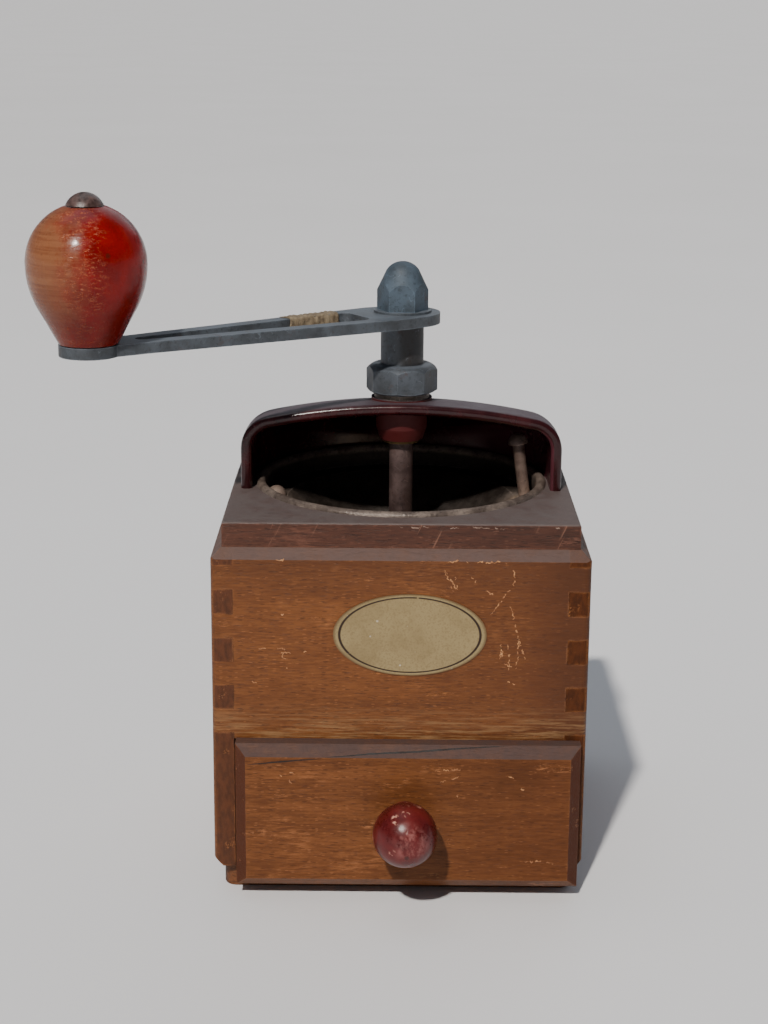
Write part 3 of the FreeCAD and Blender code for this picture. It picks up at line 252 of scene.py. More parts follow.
def wood(name, grain, tints, shift, dust=None, dust_share=0.0, wear=0.6, shine=0.28, marks=()):
    """Varnished close-grained wood: soft clouds, short fibres, ray flecks, stains and rubbed edges.

    The tints are the pale, the dark and the end grain's colour. Each mark is a function that says
    where it lies, its colour and its share.
    """
    pale, dark, end = tints
    finish = Finish(name, shift)
    clouds = finish.noise((17, 17, 17), detail=4, roughness=0.6)
    bands = finish.noise(grained(grain, 13, 150), detail=4, distortion=0.3)
    dashes = finish.noise(grained(grain, 170, 1500), detail=4, roughness=0.72)
    pores = finish.noise(grained(grain, 260, 3300), detail=2)
    tone = finish.math("ADD", finish.both(bands, 0.4), finish.both(dashes, 0.6))
    base = finish.mix(colour(*dark), colour(*pale), finish.ramp(tone, 0.34, 0.66))
    shade = tinted(dark, 0.52)
    base = finish.mix(base, shade, finish.ramp(clouds, 0.5, 0.75, 0, 0.36))
    base = finish.mix(base, shade, finish.ramp(pores, 0.57, 0.72, 0, 0.6))
    flecks = finish.specks(grained(grain, 300, 1500), 0.33, 0.5)
    base = finish.mix(base, shade, finish.both(flecks, 0.5))
    raw = tinted(pale, 1.3, 20)
    glints = finish.specks(grained(grain, 410, 1900), 0.32, 0.3)
    base = finish.mix(base, raw, finish.both(glints, 0.3))
    thin = finish.ramp(finish.noise((38, 38, 60), detail=5, roughness=0.7), 0.55, 0.72)
    worn = finish.both(thin, finish.ramp(dashes, 0.4, 0.62))
    base = finish.mix(base, raw, finish.both(worn, 0.38))
    ends = finish.ramp(finish.math("ABSOLUTE", finish.facing(grain)), 0.72, 0.95)
    ticks = finish.noise((700, 700, 260), detail=4)
    rough_end = finish.mix(colour(*end), tinted(end, 0.8), finish.ramp(ticks, 0.38, 0.66))
    base = finish.mix(base, rough_end, ends)
    for mark, tint, share in marks:
        base = finish.mix(base, colour(*tint), finish.both(mark(finish), share))
    rubs = finish.ramp(finish.noise((240, 240, 240), detail=3), 0.36, 0.62)
    rubbed = finish.both(finish.edges(0.0011), rubs)
    base = finish.mix(base, raw, finish.both(rubbed, wear))
    broken = finish.ramp(finish.noise(grained(grain, 420, 1900), detail=3, roughness=0.7), 0.5, 0.6)
    scuffed = finish.ramp(finish.noise(grained(grain, 60, 150), detail=3, roughness=0.6), 0.6, 0.7)
    chips = finish.both(broken, scuffed)
    base = finish.mix(base, raw, finish.both(chips, 0.55))
    rough = finish.ramp(clouds, 0.3, 0.75, 0.36, 0.58)
    if dust:
        mottle = finish.ramp(finish.noise((170, 170, 170), detail=5, roughness=0.7), 0.3, 0.62, 0.72, 1)
        dusty = finish.both(finish.both(finish.up(0.35, 0.7), mottle), dust_share)
        specks = finish.ramp(finish.noise((900, 900, 900), detail=3), 0.35, 0.65, 0.8, 1.12)
        film = finish.mix(tinted(dust, 0.8), colour(*dust), specks)
        base = finish.mix(base, film, dusty)
        rough = finish.math("MAXIMUM", rough, finish.both(dusty, 0.75))
    hollows = finish.both(finish.ramp(pores, 0.56, 0.72), 0.4)
    height = finish.math("SUBTRACT", finish.both(dashes, 0.5), hollows)
    height = finish.math("SUBTRACT", height, finish.both(chips, 0.8))
    return finish.done(base, rough, height, depth=0.00012, Specular_IOR_Level=shine)


def joint_lines(finish):
    """Dark glue lines where the fingers meet, inside the corners of the case."""
    spot = finish.vector("ABSOLUTE", finish.origin)
    product = finish.both(finish.along(spot, "x"), finish.along(spot, "y"))
    inside = finish.ramp(product, *CORNER_PRODUCT, 1, 0)
    below = finish.ramp(finish.at("z"), *FINGERS_TOP, 1, 0)
    return finish.both(finish.both(finish.edges(0.0007), inside), below)


def low_streaks(finish):
    """Pale rubbed streaks along the lower edge of the front board."""
    low = finish.ramp(finish.at("z"), *FRONT_LOW_EDGE, 1, 0)
    fibres = finish.noise((60, 60, 1100), detail=4, roughness=0.7)
    return finish.both(low, finish.ramp(fibres, 0.44, 0.64))


def saw_lines(finish):
    """Slanting scratches of a coarse tool on an upright face."""
    slant = finish.vector("DOT_PRODUCT", finish.place, (0.9, 0.9, -0.43))
    down = finish.along(finish.place, "z")
    turned = finish.nodes.new("ShaderNodeCombineXYZ")
    finish.wire(turned.inputs[0], finish.both(slant, 900))
    finish.wire(turned.inputs[1], finish.both(down, 45))
    texture = finish.nodes.new("ShaderNodeTexNoise")
    texture.inputs["Scale"].default_value = 1
    texture.inputs["Detail"].default_value = 2
    finish.wire(texture.inputs["Vector"], turned.outputs[0])
    scratches = finish.ramp(texture.outputs["Fac"], 0.62, 0.7)
    return finish.both(scratches, finish.ramp(finish.noise((35, 35, 35), detail=3), 0.42, 0.58))


def right_shade(finish):
    """Painted shade: darker towards the right, where the light falls off."""
    return finish.ramp(finish.at("x"), *FRONT_TO_RIGHT)


def top_shade(finish):
    """Darker towards the top of the front, below the ledge."""
    return finish.ramp(finish.at("z"), *FRONT_TOP_EDGE)


def corner_shade(finish):
    """Painted shade: darker towards the right upright corner of the front, where the light falls off."""
    return finish.ramp(finish.at("x"), *FRONT_RIGHT_EDGE)


def dark_sides(finish):
    """Painted shade: darker on the two upright bevels of the drawer front, the more they face sideways.
    """
    return finish.ramp(finish.math("ABSOLUTE", finish.facing("x")), 0.3, 0.62)


def steel(name, pale, dark, shift, rust=0.3, gloss=0.42, metal=0.75, top=0.0, shaded_neck=False):
    """Old bare steel: mottled patina, fine scratches, brown rust and brighter rubbed edges.

    The top is the share of a paler film on faces that look up. A piece with a shaded neck gets a
    painted shadow of the arm, dark on the right of its neck.
    """
    finish = Finish(name, shift)
    patina = finish.noise((95, 95, 95), detail=6, roughness=0.65)
    fine = finish.noise((900, 900, 900), detail=3)
    base = finish.mix(colour(*dark), colour(*pale), finish.ramp(patina, 0.32, 0.68))
    base = finish.mix(base, tinted(dark, 0.55), finish.ramp(fine, 0.52, 0.75, 0, 0.55))
    spots = finish.noise((260, 260, 260), detail=5, roughness=0.7)
    upper = finish.both(finish.up(0.85, 0.97), finish.ramp(patina, 0.3, 0.7, 0.6 * top, top))
    base = finish.mix(base, tinted(pale, 1.35), upper)
    rusty = finish.both(finish.ramp(spots, 0.56, 0.7), rust)
    base = finish.mix(base, colour(*RUST), rusty)
    rubbed = finish.both(finish.edges(0.0007), finish.ramp(spots, 0.35, 0.6))
    base = finish.mix(base, tinted(pale, 1.7), finish.both(rubbed, 0.5))
    # Painted shadow of the arm, dark on the right of the neck
    if shaded_neck:
        neck = finish.ramp(finish.off_axis(), *NECK_RADIUS, 1, 0)
        uneven = finish.math("ADD", finish.at("x"), finish.both(patina, 0.004))
        right = finish.ramp(uneven, *NECK_RIGHT_HALF)
        base = finish.mix(base, colour(*NECK_SHADOW), finish.both(finish.both(neck, right), 0.75))
    scratches = finish.hairlines((160, 130, 150), 0.006, 0.5)
    base = finish.mix(base, tinted(pale, 1.5), finish.both(scratches, 0.4))
    rough = finish.ramp(patina, 0.3, 0.7, gloss - 0.08, gloss + 0.14)
    rough = finish.math("ADD", rough, finish.both(rusty, 0.3))
    height = finish.math("ADD", finish.both(spots, 0.6), finish.both(fine, 0.4))
    return finish.done(base, rough, height, depth=0.0001, Metallic=metal)


def hood_plastic():
    """Dark red moulded plastic: a gloss on its lip and inside, dull mottled dust on its roof."""
    finish = Finish("hood_plastic")
    cloud = finish.noise((60, 60, 60), detail=5, roughness=0.65)
    base = finish.mix(colour(36, 5, 8), colour(56, 10, 14), finish.ramp(cloud, 0.35, 0.65))
    film = finish.ramp(finish.noise((85, 85, 85), detail=6, roughness=0.72), 0.25, 0.55, 0.6, 1)
    grains = finish.ramp(finish.noise((1500, 1500, 1500), detail=2), 0.38, 0.6, 0.8, 1)
    behind_lip = finish.ramp(finish.at("y"), *HOOD_LIP_BACK)
    dusty = finish.both(finish.both(finish.both(finish.up(0.4, 0.85), film), grains), behind_lip)
    base = finish.mix(base, colour(80, 71, 78), finish.both(dusty, 0.95))
    smears = finish.hairlines((55, 70, 60), 0.008, 0.5)
    base = finish.mix(base, colour(66, 40, 40), finish.both(smears, 0.35))
    rubbed = finish.both(finish.edges(0.0009), finish.ramp(cloud, 0.4, 0.6))
    base = finish.mix(base, colour(80, 44, 42), finish.both(rubbed, 0.4))
    boss = finish.ramp(finish.off_axis(), *HOOD_BOSS_RADIUS, 1, 0)
    base = finish.mix(base, colour(70, 9, 9), finish.both(boss, finish.up(0.1, 0.4, 1, 0)))
    # Painted light: the inner wall on the right, where the key light falls, is paler and pinker
    facing_left = finish.ramp(finish.facing("x"), -0.55, -0.15, 1, 0)
    painted_lit_inner_wall = finish.both(facing_left, finish.ramp(finish.at("x"), *HOOD_RIGHT_HALF))
    base = finish.mix(base, colour(82, 42, 50), finish.both(painted_lit_inner_wall, 0.8))
    rough = finish.math("ADD", finish.ramp(cloud, 0.3, 0.7, 0.16, 0.3), finish.both(dusty, 0.42))
    rough = finish.math("ADD", rough, finish.both(boss, 0.45))
    height = finish.math("ADD", finish.both(cloud, 0.7), finish.both(dusty, 0.2))
    return finish.done(base, rough, height, depth=0.00025, Specular_IOR_Level=0.4)


def grip_lacquer():
    """Red lacquer on the crank's grip, rubbed through to brown wood on the side that the hand holds."""
    finish = Finish("crank_knob_lacquer", 0.31)
    axis = (*centre_of(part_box("crank_knob"))[:2], 0)
    cloud = finish.noise((90, 90, 60), detail=4)
    red = finish.mix(colour(98, 3, 1), colour(130, 8, 3), finish.ramp(cloud, 0.35, 0.65))
    beside = finish.vector("SUBTRACT", finish.origin, axis)
    held = finish.vector("DOT_PRODUCT", beside, (-0.94, -0.34, 0))
    patches = finish.noise((150, 150, 120), detail=6, roughness=0.72)
    rings = finish.noise((60, 60, 1500), detail=3, distortion=0.3)
    thin = finish.math("ADD", finish.both(held, 52), finish.both(patches, 0.9))
    less_low_down = finish.ramp(finish.at("z"), *GRIP_LOW_END, 0.45, 1)
    rubbed = finish.both(finish.ramp(thin, 0.5, 1.15), less_low_down)
    brown = finish.mix(colour(110, 65, 41), colour(137, 91, 61), finish.ramp(rings, 0.2, 0.8))
    base = finish.mix(red, brown, finish.both(rubbed, 0.95))
    crackle = finish.cells((1100, 1100, 2300), "DISTANCE_TO_EDGE").outputs["Distance"]
    band = finish.both(finish.ramp(thin, 0.2, 0.5), finish.ramp(thin, 0.75, 1.1, 1, 0))
    torn = finish.ramp(finish.noise((480, 480, 1500), detail=4), 0.47, 0.62)
    flaked = finish.both(finish.ramp(crackle, 0.02, 0.12, 1, 0), torn)
    flaked = finish.both(finish.both(flaked, band), less_low_down)
    base = finish.mix(base, colour(210, 124, 82), finish.both(flaked, 0.5))
    darkened = finish.specks((210, 210, 210), 0.2, 0.14)
    base = finish.mix(base, colour(62, 22, 12), finish.both(darkened, 0.6))
    scored = finish.both(finish.ramp(rings, 0.6, 0.72), finish.ramp(patches, 0.4, 0.6))
    base = finish.mix(base, colour(70, 20, 10), finish.both(scored, 0.2))
    # Painted shade and grime: darker red low on the grip, next to the arm
    shade_and_grime_near_arm = finish.ramp(finish.at("z"), *GRIP_NEAR_ARM, 0.6, 0)
    base = finish.mix(base, colour(84, 9, 0), shade_and_grime_near_arm)
    rough = finish.ramp(patches, 0.35, 0.7, 0.18, 0.4)
    height = finish.math("SUBTRACT", finish.both(patches, 0.5), finish.both(flaked, 0.5))
    height = finish.math("ADD", height, finish.both(rings, 0.3))
    coat = {"Coat_Weight": 0.12, "Coat_Roughness": 0.15}
    return finish.done(base, rough, height, depth=0.00018, Specular_IOR_Level=0.2, **coat)


def pull_lacquer():
    """Dull dark red lacquer on the drawer's pull, hazed and chipped on its face, with a dark dot."""
    finish = Finish("pull_lacquer", 0.47)
    low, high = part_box("drawer_knob")
    middle = centre_of((low, high))
    cloud = finish.noise((130, 130, 130), detail=5, roughness=0.65)
    base = finish.mix(colour(70, 14, 14), colour(94, 25, 24), finish.ramp(cloud, 0.35, 0.65))
    bloom = finish.ramp(finish.noise((190, 190, 120), detail=6, roughness=0.75), 0.42, 0.62)
    haze = finish.both(bloom, finish.ramp(finish.facing("y"), -0.95, -0.6, 1, 0))
    upper = finish.ramp(finish.at("z"), low[2] + 0.004, low[2] + 0.01)
    right = finish.ramp(finish.at("x"), middle[0] - 0.005, middle[0] + 0.001)
    haze = finish.both(haze, finish.both(upper, right))
    base = finish.mix(base, colour(164, 106, 100), finish.both(haze, 0.75))
    torn = finish.ramp(finish.noise((700, 700, 700), detail=4), 0.5, 0.58)
    flakes = finish.both(finish.specks((260, 260, 200), 0.42, 0.35), torn)
    base = finish.mix(base, colour(206, 150, 130), finish.both(flakes, 0.75))
    beside = finish.vector("MULTIPLY", finish.vector("SUBTRACT", finish.origin, middle), (1, 0, 1))
    off = finish.vector("DISTANCE", beside, (0.0005, 0, -0.0035))
    in_front = finish.ramp(finish.facing("y"), -0.5, -0.3, 1, 0)
    dot = finish.both(finish.ramp(off, 0.0004, 0.0011, 1, 0), in_front)
    base = finish.mix(base, colour(52, 26, 22), finish.both(dot, 0.75))
    rough = finish.math("ADD", finish.ramp(cloud, 0.3, 0.7, 0.24, 0.38), finish.both(haze, 0.15))
    height = finish.math("SUBTRACT", cloud, finish.both(flakes, 0.8))
    return finish.done(base, rough, height, depth=0.0002, Specular_IOR_Level=0.35)


def label_metal():
    """A bare pale gold plate with a thin dark line inside its rim."""
    finish = Finish("label_metal")
    low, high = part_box("label_plate")
    beside = finish.vector("SUBTRACT", finish.origin, centre_of((low, high)))
    flat = finish.vector("DIVIDE", beside, ((high[0] - low[0]) / 2, 1, (high[2] - low[2]) / 2))
    reach = finish.vector("LENGTH", finish.vector("MULTIPLY", flat, (1, 0, 1)))
    line = finish.both(finish.ramp(reach, 0.897, 0.909), finish.ramp(reach, 0.93, 0.942, 1, 0))
    tarnish = finish.noise((90, 90, 90), detail=6, roughness=0.65)
    base = finish.mix(colour(137, 118, 81), colour(152, 133, 94), finish.ramp(tarnish, 0.34, 0.62))
    weave = finish.noise((1600, 1600, 1600), detail=2)
    base = finish.mix(base, colour(124, 104, 68), finish.ramp(weave, 0.45, 0.7, 0, 0.5))
    specks = finish.specks((420, 420, 420), 0.2, 0.12)
    base = finish.mix(base, colour(214, 206, 190), finish.both(specks, 0.5))
    worn = finish.noise((260, 260, 260), detail=4)
    base = finish.mix(base, colour(44, 26, 16), finish.both(line, finish.ramp(worn, 0.26, 0.34)))
    rim = finish.ramp(reach, 0.955, 0.995)
    base = finish.mix(base, colour(92, 66, 38), finish.both(rim, 0.7))
    rough = finish.ramp(tarnish, 0.3, 0.7, 0.34, 0.5)
    height = finish.math("SUBTRACT", tarnish, specks)
    return finish.done(base, rough, height, depth=0.00008, Metallic=0.35)


def tan_tape():
    """Old paper tape: crinkled across its length, grubby at its edges."""
    finish = Finish("tan_tape")
    crinkle = finish.noise((420, 420, 420), detail=5, roughness=0.7)
    folds = finish.noise((150, 700, 300), detail=3, distortion=1.2)
    base = finish.mix(colour(100, 85, 65), colour(138, 123, 99), finish.ramp(crinkle, 0.35, 0.65))
    base = finish.mix(base, colour(66, 50, 36), finish.ramp(folds, 0.58, 0.75, 0, 0.6))
    base = finish.mix(base, colour(60, 46, 34), finish.both(finish.edges(0.0008), 0.5))
    rough = finish.ramp(crinkle, 0.3, 0.7, 0.6, 0.85)
    return finish.done(base, rough, finish.math("ADD", crinkle, folds), depth=0.0004)


def rivet_paint():
    """Mottled dark brown paint on the spindle's domed head."""
    finish = Finish("rivet_paint")
    cloud = finish.noise((400, 400, 400), detail=5, roughness=0.7)
    base = finish.mix(colour(46, 30, 26), colour(88, 68, 64), finish.ramp(cloud, 0.36, 0.66))
    return finish.done(base, finish.ramp(cloud, 0.3, 0.7, 0.25, 0.45), cloud, depth=0.0002)


def bowl_steel():
    """Tinned sheet, dull and stained: painted shade near black at the back under the hood, and pale meal
    with painted light at the right in front.
    """
    finish = Finish("bowl_steel", 0.7)
    cloud = finish.noise((110, 110, 110), detail=6, roughness=0.68)
    base = finish.mix(colour(86, 74, 67), colour(130, 116, 106), finish.ramp(cloud, 0.34, 0.66))
    fine = finish.noise((1100, 1100, 1100), detail=3)
    base = finish.mix(base, colour(40, 30, 25), finish.ramp(fine, 0.5, 0.72, 0, 0.6))
    below_rim = finish.ramp(finish.at("z"), *BOWL_BELOW_RIM, 1, 0)
    # Painted shade: near black at the back of the bowl, under the hood
    shaded_back = finish.both(finish.ramp(finish.at("y"), *BOWL_BACK_HALF), below_rim)
    base = finish.mix(base, colour(15, 11, 9), finish.both(shaded_back, 0.85))
    in_front = finish.ramp(finish.at("y"), *BOWL_FRONT_HALF, 1, 0)
    right_front = finish.both(finish.ramp(finish.at("x"), *BOWL_RIGHT_HALF), in_front)
    # Pale meal, with painted light where the key light falls on the right in front
    meal_and_painted_light = finish.both(finish.both(right_front, below_rim), finish.ramp(cloud, 0.3, 0.6, 0.7, 0.95))
    base = finish.mix(base, colour(184, 160, 137), meal_and_painted_light)
    rubbed = finish.both(finish.edges(0.0009), finish.ramp(cloud, 0.38, 0.58))
    base = finish.mix(base, colour(164, 152, 143), finish.both(rubbed, 0.6))
    rough = finish.ramp(cloud, 0.3, 0.7, 0.4, 0.65)
    return finish.done(base, rough, fine, depth=0.00015, Metallic=0.3)


def bare_wood(name, pale, dark):
    """Torn fibres where the varnish is gone."""
    finish = Finish(name, 0.53)
    fibres = finish.noise((300, 300, 1400), detail=4, roughness=0.7)
    base = finish.mix(colour(*dark), colour(*pale), finish.ramp(fibres, 0.36, 0.64))
    return finish.done(base, finish.ramp(fibres, 0.3, 0.7, 0.55, 0.8), fibres, depth=0.0001)


def paint(finish, *names):
    """Gives the named solids one material."""
    for name in names:
        shown = nodes[name]
        shown.data.materials.clear()
        shown.data.materials.append(finish)


def softened(width, *names):
    """Rounds the sharp edges of the named solids by a modifier, by a width in metres."""
    for name in names:
        rounding = nodes[name].modifiers.new("soft_edges", "BEVEL")
        rounding.width = width
        rounding.segments = 3
        rounding.limit_method = "ANGLE"
        rounding.angle_limit = math.radians(40)
        rounding.harden_normals = True


# Wood
lines = (joint_lines, (34, 18, 10), 0.75)
streaks = (low_streaks, (152, 118, 80), 0.6)
# Painted shade: the front and the drawer darker towards the right
painted_shade_right = (right_shade, (74, 37, 13), 0.4)
under_ledge = (top_shade, (70, 39, 20), 0.3)
# Painted shade at the front's right upright corner
painted_shade_corner = (corner_shade, (62, 29, 8), 0.55)
sawn = (saw_lines, (132, 92, 74), 0.55)
# Painted shade on the drawer front's upright bevels
darkened = (dark_sides, (64, 25, 3), 0.85)
case_wear = {"dust": DUST, "dust_share": 0.85, "wear": 0.35}
front_marks = (painted_shade_right, under_ledge, painted_shade_corner, lines, streaks)
paint(wood("front_wood", "x", CASE_WOOD, 0.13, **case_wear, marks=front_marks), "front_panel")
paint(wood("back_wood", "x", CASE_WOOD, 0.57, **case_wear, marks=(lines,)), "back_panel")
paint(wood("left_wood", "y", LEFT_WOOD, 0.91, **case_wear, marks=(lines,)), "left_side")
paint(wood("right_wood", "y", RIGHT_WOOD_SHADED_ENDS, 1.37, **case_wear, shine=0.12, marks=(lines,)), "right_side")
paint(wood("base_wood", "x", BASE_WOOD, 1.71), "base_board")
paint(wood("board_wood", "x", BOARD_WOOD, 2.03, BOARD_DUST, 1.0, marks=(sawn,)), "top_board")
drawer_wear = {"dust": DRAWER_DUST, "dust_share": 0.95, "wear": 0.3}
drawer_marks = (painted_shade_right, darkened)
drawer_finish = wood("drawer_wood", "x", DRAWER_WOOD, 2.47, **drawer_wear, shine=0.16, marks=drawer_marks)
paint(drawer_finish, "drawer_front")
paint(wood("drawer_side_wood", "y", BOX_WOOD, 2.81), "drawer_left_side", "drawer_right_side")
paint(wood("drawer_back_wood", "x", BOX_WOOD, 3.19), "drawer_back", "drawer_bottom")

# Plastic, metal and lacquer
paint(hood_plastic(), "hood")
paint(label_metal(), "label_plate")
paint(bowl_steel(), "hopper_bowl")
paint(rivet_paint(), "knob_spindle")
dull = {"gloss": 0.5, "metal": 0.12}
crank_steel = steel("crank_steel", (75, 81, 88), (47, 50, 54), 0.41, **dull, top=0.75)
paint(crank_steel, "crank_arm", "arm_washer")
nut_steel = steel("nut_steel", (76, 82, 90), (47, 50, 54), 0.41, rust=0.4, **dull, top=0.5, shaded_neck=True)
paint(nut_steel, "adjusting_nut")
paint(steel("cap_steel", (72, 86, 99), (50, 59, 67), 0.59, gloss=0.6, metal=0.12), "cap_nut")
browned = {"rust": 0.4, "gloss": 0.55, "metal": 0.3}
paint(steel("bolt_steel", (130, 112, 101), (84, 68, 62), 0.83, **browned), "mechanism_bolts")
paint(steel("shaft_steel", (98, 80, 77), (60, 46, 44), 1.09, **browned), "drive_shaft")
screws = ("bridge_screws", "hood_screws", "drawer_knob_screw")
fasteners = ("thrust_washer", "mechanism_nuts", "base_nails", "cone_pin", *screws)
paint(steel("fastener_steel", (112, 104, 98), (70, 62, 56), 1.21, rust=0.5), *fasteners)
iron = steel("cast_iron", (70, 68, 68), (44, 42, 42), 1.63, rust=0.5, gloss=0.55)
paint(iron, "burr_housing", "burr_ring", "cone_burr", "lower_bridge")
paint(steel("bush_brass", (92, 74, 44), (58, 44, 26), 1.97, rust=0.4, metal=0.8), "shaft_bush")
paint(grip_lacquer(), "crank_knob")
paint(pull_lacquer(), "drawer_knob")

# Rounded edges
softened(0.0005, "front_panel", "back_panel", "left_side", "right_side", "base_board", "top_board")
softened(0.0013, "drawer_front")
softened(0.0003, "crank_arm", "adjusting_nut", "cap_nut")
softened(0.0003, "drawer_left_side", "drawer_right_side", "drawer_back")

# Torn flakes of varnish, as x and z on the faces that carry them, and a long crack, in millimetres
FRONT_MARKS = [
    [(32.8, 112.7), (35.7, 109.5), (35.4, 105.0), (32.3, 100.8), (28.5, 95.5)],
    [(34.3, 99.2), (36.1, 93.1), (37.4, 87.3), (37.4, 81.5), (36.8, 77.3)],
    [(31.5, 86.4), (32.4, 83.1), (32.2, 79.7)],
    [(33.9, 85.6), (34.8, 81.4), (34.5, 76.8)],
    [(38.7, 84.0), (39.5, 80.6)],
    [(13.4, 110.1), (16.2, 106.4), (17.4, 102.8)],
    [(17.0, 107.7), (17.8, 103.6)],
    [(22.0, 107.7), (23.6, 106.1)],
    [(-37.8, 94.9), (-36.0, 94.6)],
    [(-39.0, 83.7), (-36.7, 83.3), (-37.5, 80.8), (-35.7, 79.9)],
    [(-44.9, 83.6), (-42.6, 83.4)],
    [(-36.7, 77.8), (-35.7, 77.0)],
    [(-47.2, 72.3), (-45.7, 71.8)],
    [(26.8, 103.3), (29.8, 101.6)],
    [(34.2, 73.1), (36.7, 72.0)],
    [(14.6, 112.6), (18.0, 112.9), (21.0, 112.5)],
    [(23.0, 112.8), (27.0, 112.5), (32.0, 112.9)],
    [(-39.3, 112.7), (-35.4, 112.8)],
    [(13.8, 108.9), (15.6, 106.2), (16.6, 102.9)],
    [(32.0, 84.9), (31.7, 80.6)],
    [(33.1, 79.3), (34.3, 78.4), (36.4, 78.1)],
    [(37.2, 88.6), (38.2, 84.2)],
    [(-38.6, 82.5), (-34.8, 81.9)],
    [(-31.5, 82.6), (-28.8, 82.3)],
]
BOARD_MARKS = [
    [(-0.5, 123.0), (5.0, 122.7), (10.5, 123.1)],
    [(14.4, 122.7), (18.1, 122.6)],
    [(21.5, 123.1), (25.8, 122.9)],
    [(25.8, 122.6), (29.0, 122.9), (32.4, 122.6)],
    [(48.4, 123.1), (49.7, 123.0)],
]
DRAWER_MARKS = [
    [(-38.0, 44.0), (-36.0, 43.1), (-34.1, 41.0)],
    [(-35.6, 45.3), (-33.6, 44.4)],
    [(18.3, 38.4), (18.8, 36.9)],
    [(34.8, 43.9), (37.4, 43.4)],
    [(38.9, 39.9), (39.9, 39.4)],
    [(13.1, 41.8), (15.8, 42.8), (19.0, 43.7)],
    [(11.4, 45.6), (15.8, 46.2), (21.3, 46.1)],
    [(40.7, 14.5), (45.1, 14.9), (50.0, 14.1)],
]
CRACK_ON_FACE = [(-48.3, -68.2, 47.3), (-32.9, -68.2, 48.9), (-24.6, -68.2, 49.6)]
CRACK_ON_BEVEL = [
    (-24.6, -68.2, 49.9),
    (-15.9, -67.7, 50.4),
    (-9.6, -67.2, 50.9),
    (-1.7, -66.85, 51.25),
    (5.5, -66.55, 51.55),
    (18.9, -65.7, 52.4),
    (34.8, -64.9, 53.2),
]
# Half widths, in millimetres
FLAKE_WIDTH = 0.42
BOARD_FLAKE_WIDTH = 0.3
FACE_CRACK_WIDTH = 0.3
BEVEL_CRACK_WIDTH = 0.4
# How far a strip stands out, how thick it is and how far apart its corners are, in millimetres
PROUD = 0.03
SLIVER = 0.1
STEP = 0.45
# How torn a flake is, from 0 to 1, the share that a wholly torn strip lacks, and the least share of
# the full width that a tear leaves
FLAKE_GAPS = 0.6
GAP_SHARE = 0.6
LEAST_OF_FLAKE = 0.12
LEAST_OF_CRACK = 0.6


def stepped(points):
    """Points every half millimetre or so along a line of corners."""
    places = [Vector(points[0])]
    for first, last in zip(points, points[1:]):
        first, last = Vector(first), Vector(last)
        count = max(1, round((last - first).length / STEP))
        places += [first.lerp(last, number / count) for number in range(1, count + 1)]
    return places


def scatter(number, seed):
    """A fixed value from 0 to 1 that looks unplanned beside its neighbours."""
    value = math.sin(12.99 * number + 78.23 * seed) * 43758.5
    return value - math.floor(value)


def ragged_strip(vertices, faces, points, side, outward, width, seed, gaps):
    """A strip with torn sides that narrows towards both ends."""
    places = stepped(points)
    least = LEAST_OF_FLAKE if gaps else LEAST_OF_CRACK
    start = len(vertices)
    for number, place in enumerate(places):
        taper = math.sin(math.pi * (number + 0.4) / (len(places) - 0.2)) ** 0.6
        sway = side * (scatter(number, seed + 0.5) - 0.5) * gaps
        for sign in (1, -1):
            torn = least + (1 - least) * scatter(number + 0.3 * sign, seed) ** 1.5
            edge = place + sway + side * sign * width * torn * taper + outward * PROUD
            vertices.append(edge * MILLIMETRE)
    for number in range(len(places) - 1):
        first = start + 2 * number
        if scatter(number // 2, seed + 0.25) >= GAP_SHARE * gaps:
            faces.append((first, first + 1, first + 3, first + 2))


def marked(name, body, finish, strips, gaps=0.0):
    """One piece of the given strips, each (points, side, outward, width)."""
    vertices, faces = [], []
    for seed, (points, side, outward, width) in enumerate(strips):
        ragged_strip(vertices, faces, points, Vector(side), Vector(outward), width, seed, gaps)
    mesh = bpy.data.meshes.new(name)
    mesh.from_pydata(vertices, [], faces)
    mesh.materials.append(finish)
    shown = added(name, mesh)
    closed = shown.modifiers.new("closed", "SOLIDIFY")
    closed.thickness = SLIVER * MILLIMETRE
    closed.offset = -1
    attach(shown, body)


def flake_strips(marks, depth, width):
    """Strips on an upright face, each across its own line."""
    strips = []
    for mark in marks:
        along = Vector((mark[-1][0] - mark[0][0], 0, mark[-1][1] - mark[0][1])).normalized()
        points = [(x, depth, z) for x, z in mark]
        strips.append((points, (-along.z, 0, along.x), (0, -1, 0), width))
    return strips


# The tape on the arm's far bar, in millimetres along the arm from the shaft's axis
ARM_DIRECTION = math.radians(214.4)
WRAP_FROM = 20
WRAP_TO = 41
WRAP_FILM = 0.42
WRAP_TUCK = 0.3
WRAP_ROWS = 36
FIRST_LEAN = 0.7
LAST_LEAN = -0.9
RING_CORNERS = 28
RING_POWER = 0.45
BAR_HALF_WIDTH = 2.5
BAR_HALF_THICKNESS = 1.75
# Half the arm's width where its taper starts, how much that shrinks, and where and how long it runs
ARM_HALF_WIDTH = 13.6
ARM_NARROWING = 6.4
TAPER_FROM = 7
TAPER_LENGTH = 92


def far_bar_middle(along):
    """How far the middle of the arm's far bar lies from the arm's own middle line."""
    return ARM_HALF_WIDTH - ARM_NARROWING * (along - TAPER_FROM) / TAPER_LENGTH - BAR_HALF_WIDTH


def squared(value):
    """A sine or cosine drawn out, so that a circle becomes a rounded square."""
    return math.copysign(abs(value) ** RING_POWER, value)


